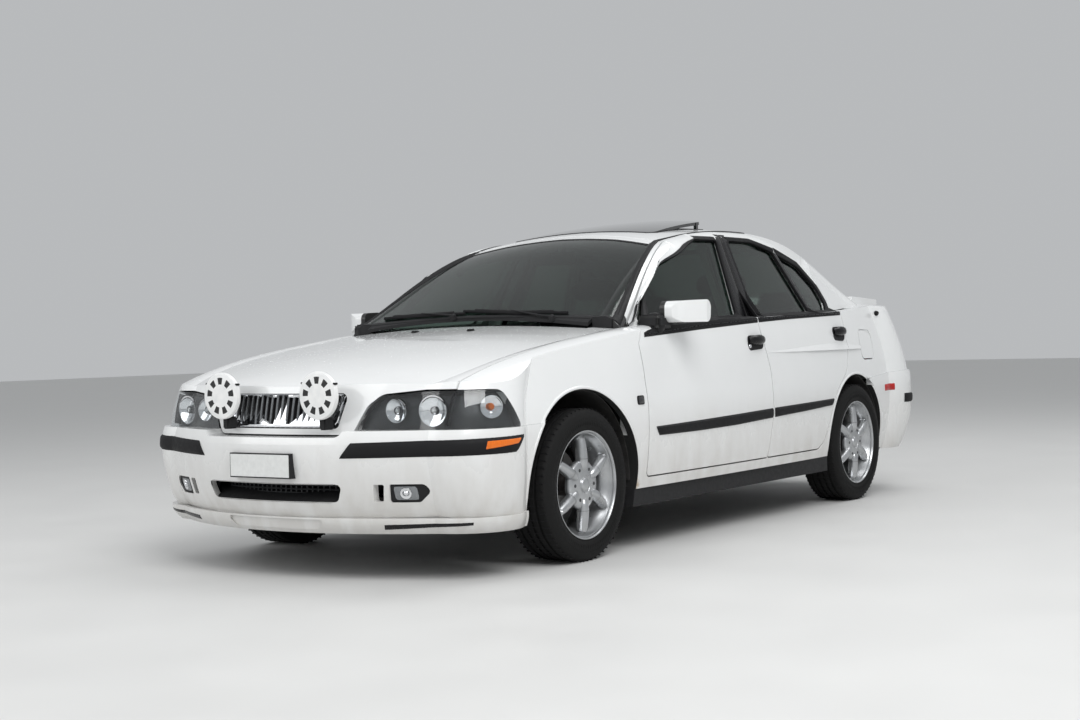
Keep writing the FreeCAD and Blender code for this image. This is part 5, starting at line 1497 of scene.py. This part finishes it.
class OBJECT_OT_saloon_bay(SaloonOperator, bpy.types.Operator):
    """Engine cover, hoses and battery under the bonnet, with details under the car"""
    bl_idname = "object.saloon_bay"
    bl_label = "Engine bay and underside"

    def execute(self, context):
        parts = [block((1.15, -0.3, 0.7195), (1.47, 0.24, 0.735), "black_plastic", 0.01, 4)]
        for k in range(4):
            parts += [
                tube([(1.4, -0.22 + 0.12 * k, 0.712), (1.505, -0.22 + 0.12 * k, 0.69), (1.56, -0.22 + 0.12 * k, 0.6),
                      (1.54, -0.22 + 0.12 * k, 0.52)], 0.017, "alloy", 14),
                tube([(1.24, -0.24 + 0.13 * k, 0.73), (1.24, -0.24 + 0.13 * k, 0.747)], 0.01, "rubber", 12),
            ]
        parts += [
            lathe(((0, 0.02), (0.026, 0.02), (0.03, 0.012), (0.03, 0.0)), (1.3, 0.18, 0.733), (0, 0, 1), "rubber",
                  24),
            block((1.16, 0.375, 0.56), (1.36, 0.445, 0.69), "black_plastic", 0.006),
            tube([(1.48, 0.3, 0.64), (1.62, 0.31, 0.65), (1.78, 0.3, 0.6), (1.925, 0.28, 0.56)], 0.02, "rubber", 14),
            tube([(1.48, -0.33, 0.42), (1.64, -0.34, 0.4), (1.8, -0.3, 0.4), (1.925, -0.26, 0.4)], 0.02, "rubber",
                 14),
        ]
        fins = block((1.9905, -0.318, 0.334), (1.9925, -0.315, 0.596), "steel_dark", 0.0003, 1)
        parts.append(repeat(fins, 90, (0, 0.0071, 0), 0.0, "steel_dark"))
        ride(join("engine_fittings", parts), "car_body")
        under = []
        for y in (-0.62, -0.33, 0.33, 0.62):
            under.append(block((-0.85, y - 0.022, 0.1985), (0.9, y + 0.022, 0.2105), "underbody", 0.004))
        for x in (-0.6, -0.25, 0.1, 0.45):
            under += [
                block((x - 0.02, -0.6, 0.2005), (x + 0.02, -0.36, 0.2105), "underbody", 0.004),
                block((x - 0.02, 0.36, 0.2005), (x + 0.02, 0.6, 0.2105), "underbody", 0.004),
            ]
        for x in (-1.2, -0.55, 0.4, 0.9):
            under.append(lathe(((0.0245, -0.014), (0.029, -0.012), (0.029, 0.012), (0.0245, 0.014)), (x, 0, 0.196),
                               (1, 0, 0), "steel_dark", 24))
        springs = []
        for end, y, low, high, r in (("front", 0.53, 0.628, 0.735, 0.052), ("rear", 0.48, 0.325, 0.486, 0.05)):
            coil, x, steps = [], AXLES[end], 5 * 16
            for i in range(steps + 1):
                a = 2 * math.pi * i / 16
                coil.append((x + r * math.cos(a), y + r * math.sin(a), low + (high - low) * i / steps))
            springs.append(tube(coil, 0.0062, "steel_dark", 8))
        pair(springs, "springs", BODY)
        ride(join("underside", under), "car_body")
        return {"FINISHED"}


class OBJECT_OT_saloon_rain(SaloonOperator, bpy.types.Operator):
    """Water drops on the bonnet"""
    bl_idname = "object.saloon_rain"
    bl_label = "Water drops"

    def execute(self, context):
        density = context.scene.saloon_paint.drops
        wet = drops("bonnet", density, 7, 0.0022, "lens", 0.95, 2.0)
        ride(join("bonnet_drops", wet), "bonnet")
        return {"FINISHED"}


class OBJECT_OT_saloon_stage(SaloonOperator, bpy.types.Operator):
    """Pale floor, soft lights and the camera of the photograph"""
    bl_idname = "object.saloon_stage"
    bl_label = "Stage"

    def execute(self, context):
        if not MATS:
            build_materials(context.scene.saloon_paint)
        half = 40
        corners = [(-half, -half, 0), (half, -half, 0), (half, half, 0), (-half, half, 0)]
        floor = put(corners, [(0, 1, 2, 3)], "floor", smooth=False)
        join("studio_floor", floor)
        for name, at, size, power in (
            ("key_light", (4.5, 5.5, 6.5), 5.0, 470.0),
            ("fill_light", (7.5, -4.0, 4.5), 6.0, 210.0),
            ("back_light", (-4.0, 1.5, 8.0), 5.0, 210.0),
        ):
            light = bpy.data.lights.new(name, "AREA")
            light.energy, light.size = power, size
            lamp = new_object(light, name)
            lamp.location = at
            lamp.rotation_euler = (Vector((0, 0, 0.6)) - Vector(at)).to_track_quat("-Z", "Y").to_euler()
        world = bpy.data.worlds.new("studio")
        context.scene.world = world
        world.use_nodes = True
        sky = world.node_tree.nodes["Background"]
        sky.inputs["Color"].default_value = (0.86, 0.88, 0.9, 1)
        sky.inputs["Strength"].default_value = 0.56
        camera = bpy.data.cameras.new("photo_camera")
        camera.sensor_width, camera.lens = 36, CAMERA_LENS
        camera.clip_end = 200
        seat = new_object(camera, "photo_camera")
        yaw, pitch, roll = (math.radians(v) for v in CAMERA_TURN)
        ahead = Vector((math.cos(pitch) * math.cos(yaw), math.cos(pitch) * math.sin(yaw), math.sin(pitch)))
        right = ahead.cross(Vector((0, 0, 1))).normalized()
        up = right.cross(ahead)
        across = math.cos(roll) * right + math.sin(roll) * up
        above = -math.sin(roll) * right + math.cos(roll) * up
        seat.matrix_world = Matrix.Translation(CAMERA_AT) @ Matrix((across, above, -ahead)).transposed().to_4x4()
        context.scene.camera = seat
        context.scene.view_settings.view_transform = "Standard"
        return {"FINISHED"}


class VIEW3D_PT_saloon(bpy.types.Panel):
    bl_label = "Saloon car"
    bl_idname = "VIEW3D_PT_saloon"
    bl_space_type = "VIEW_3D"
    bl_region_type = "UI"
    bl_category = "Saloon"

    def draw(self, context):
        for group in ("saloon_paint", "saloon_trim", "saloon_wheels"):
            settings = getattr(context.scene, group)
            for key in settings.bl_rna.properties.keys():
                if key not in ("rna_type", "name"):
                    self.layout.prop(settings, key)
        for step in STEPS:
            self.layout.operator(step.bl_idname)


STEPS = (
    OBJECT_OT_saloon_frame,
    OBJECT_OT_saloon_strips,
    OBJECT_OT_saloon_windows,
    OBJECT_OT_saloon_screens,
    OBJECT_OT_saloon_fittings,
    OBJECT_OT_saloon_front,
    OBJECT_OT_saloon_lamps,
    OBJECT_OT_saloon_tail,
    OBJECT_OT_saloon_driving_lamps,
    OBJECT_OT_saloon_wheels,
    OBJECT_OT_saloon_seats,
    OBJECT_OT_saloon_cabin,
    OBJECT_OT_saloon_bay,
    OBJECT_OT_saloon_rain,
    OBJECT_OT_saloon_stage,
)
SETTINGS = (("saloon_paint", SaloonPaint), ("saloon_trim", SaloonTrim), ("saloon_wheels", SaloonWheels))


def register():
    for name, group in SETTINGS:
        bpy.utils.register_class(group)
        setattr(bpy.types.Scene, name, bpy.props.PointerProperty(type=group))
    for step in STEPS + (VIEW3D_PT_saloon,):
        bpy.utils.register_class(step)


def unregister():
    for step in reversed(STEPS + (VIEW3D_PT_saloon,)):
        bpy.utils.unregister_class(step)
    for name, group in reversed(SETTINGS):
        delattr(bpy.types.Scene, name)
        bpy.utils.unregister_class(group)


def main():
    register()
    for step in STEPS:
        space, call = step.bl_idname.split(".")
        getattr(getattr(bpy.ops, space), call)()


if __name__ == "__main__":
    main()
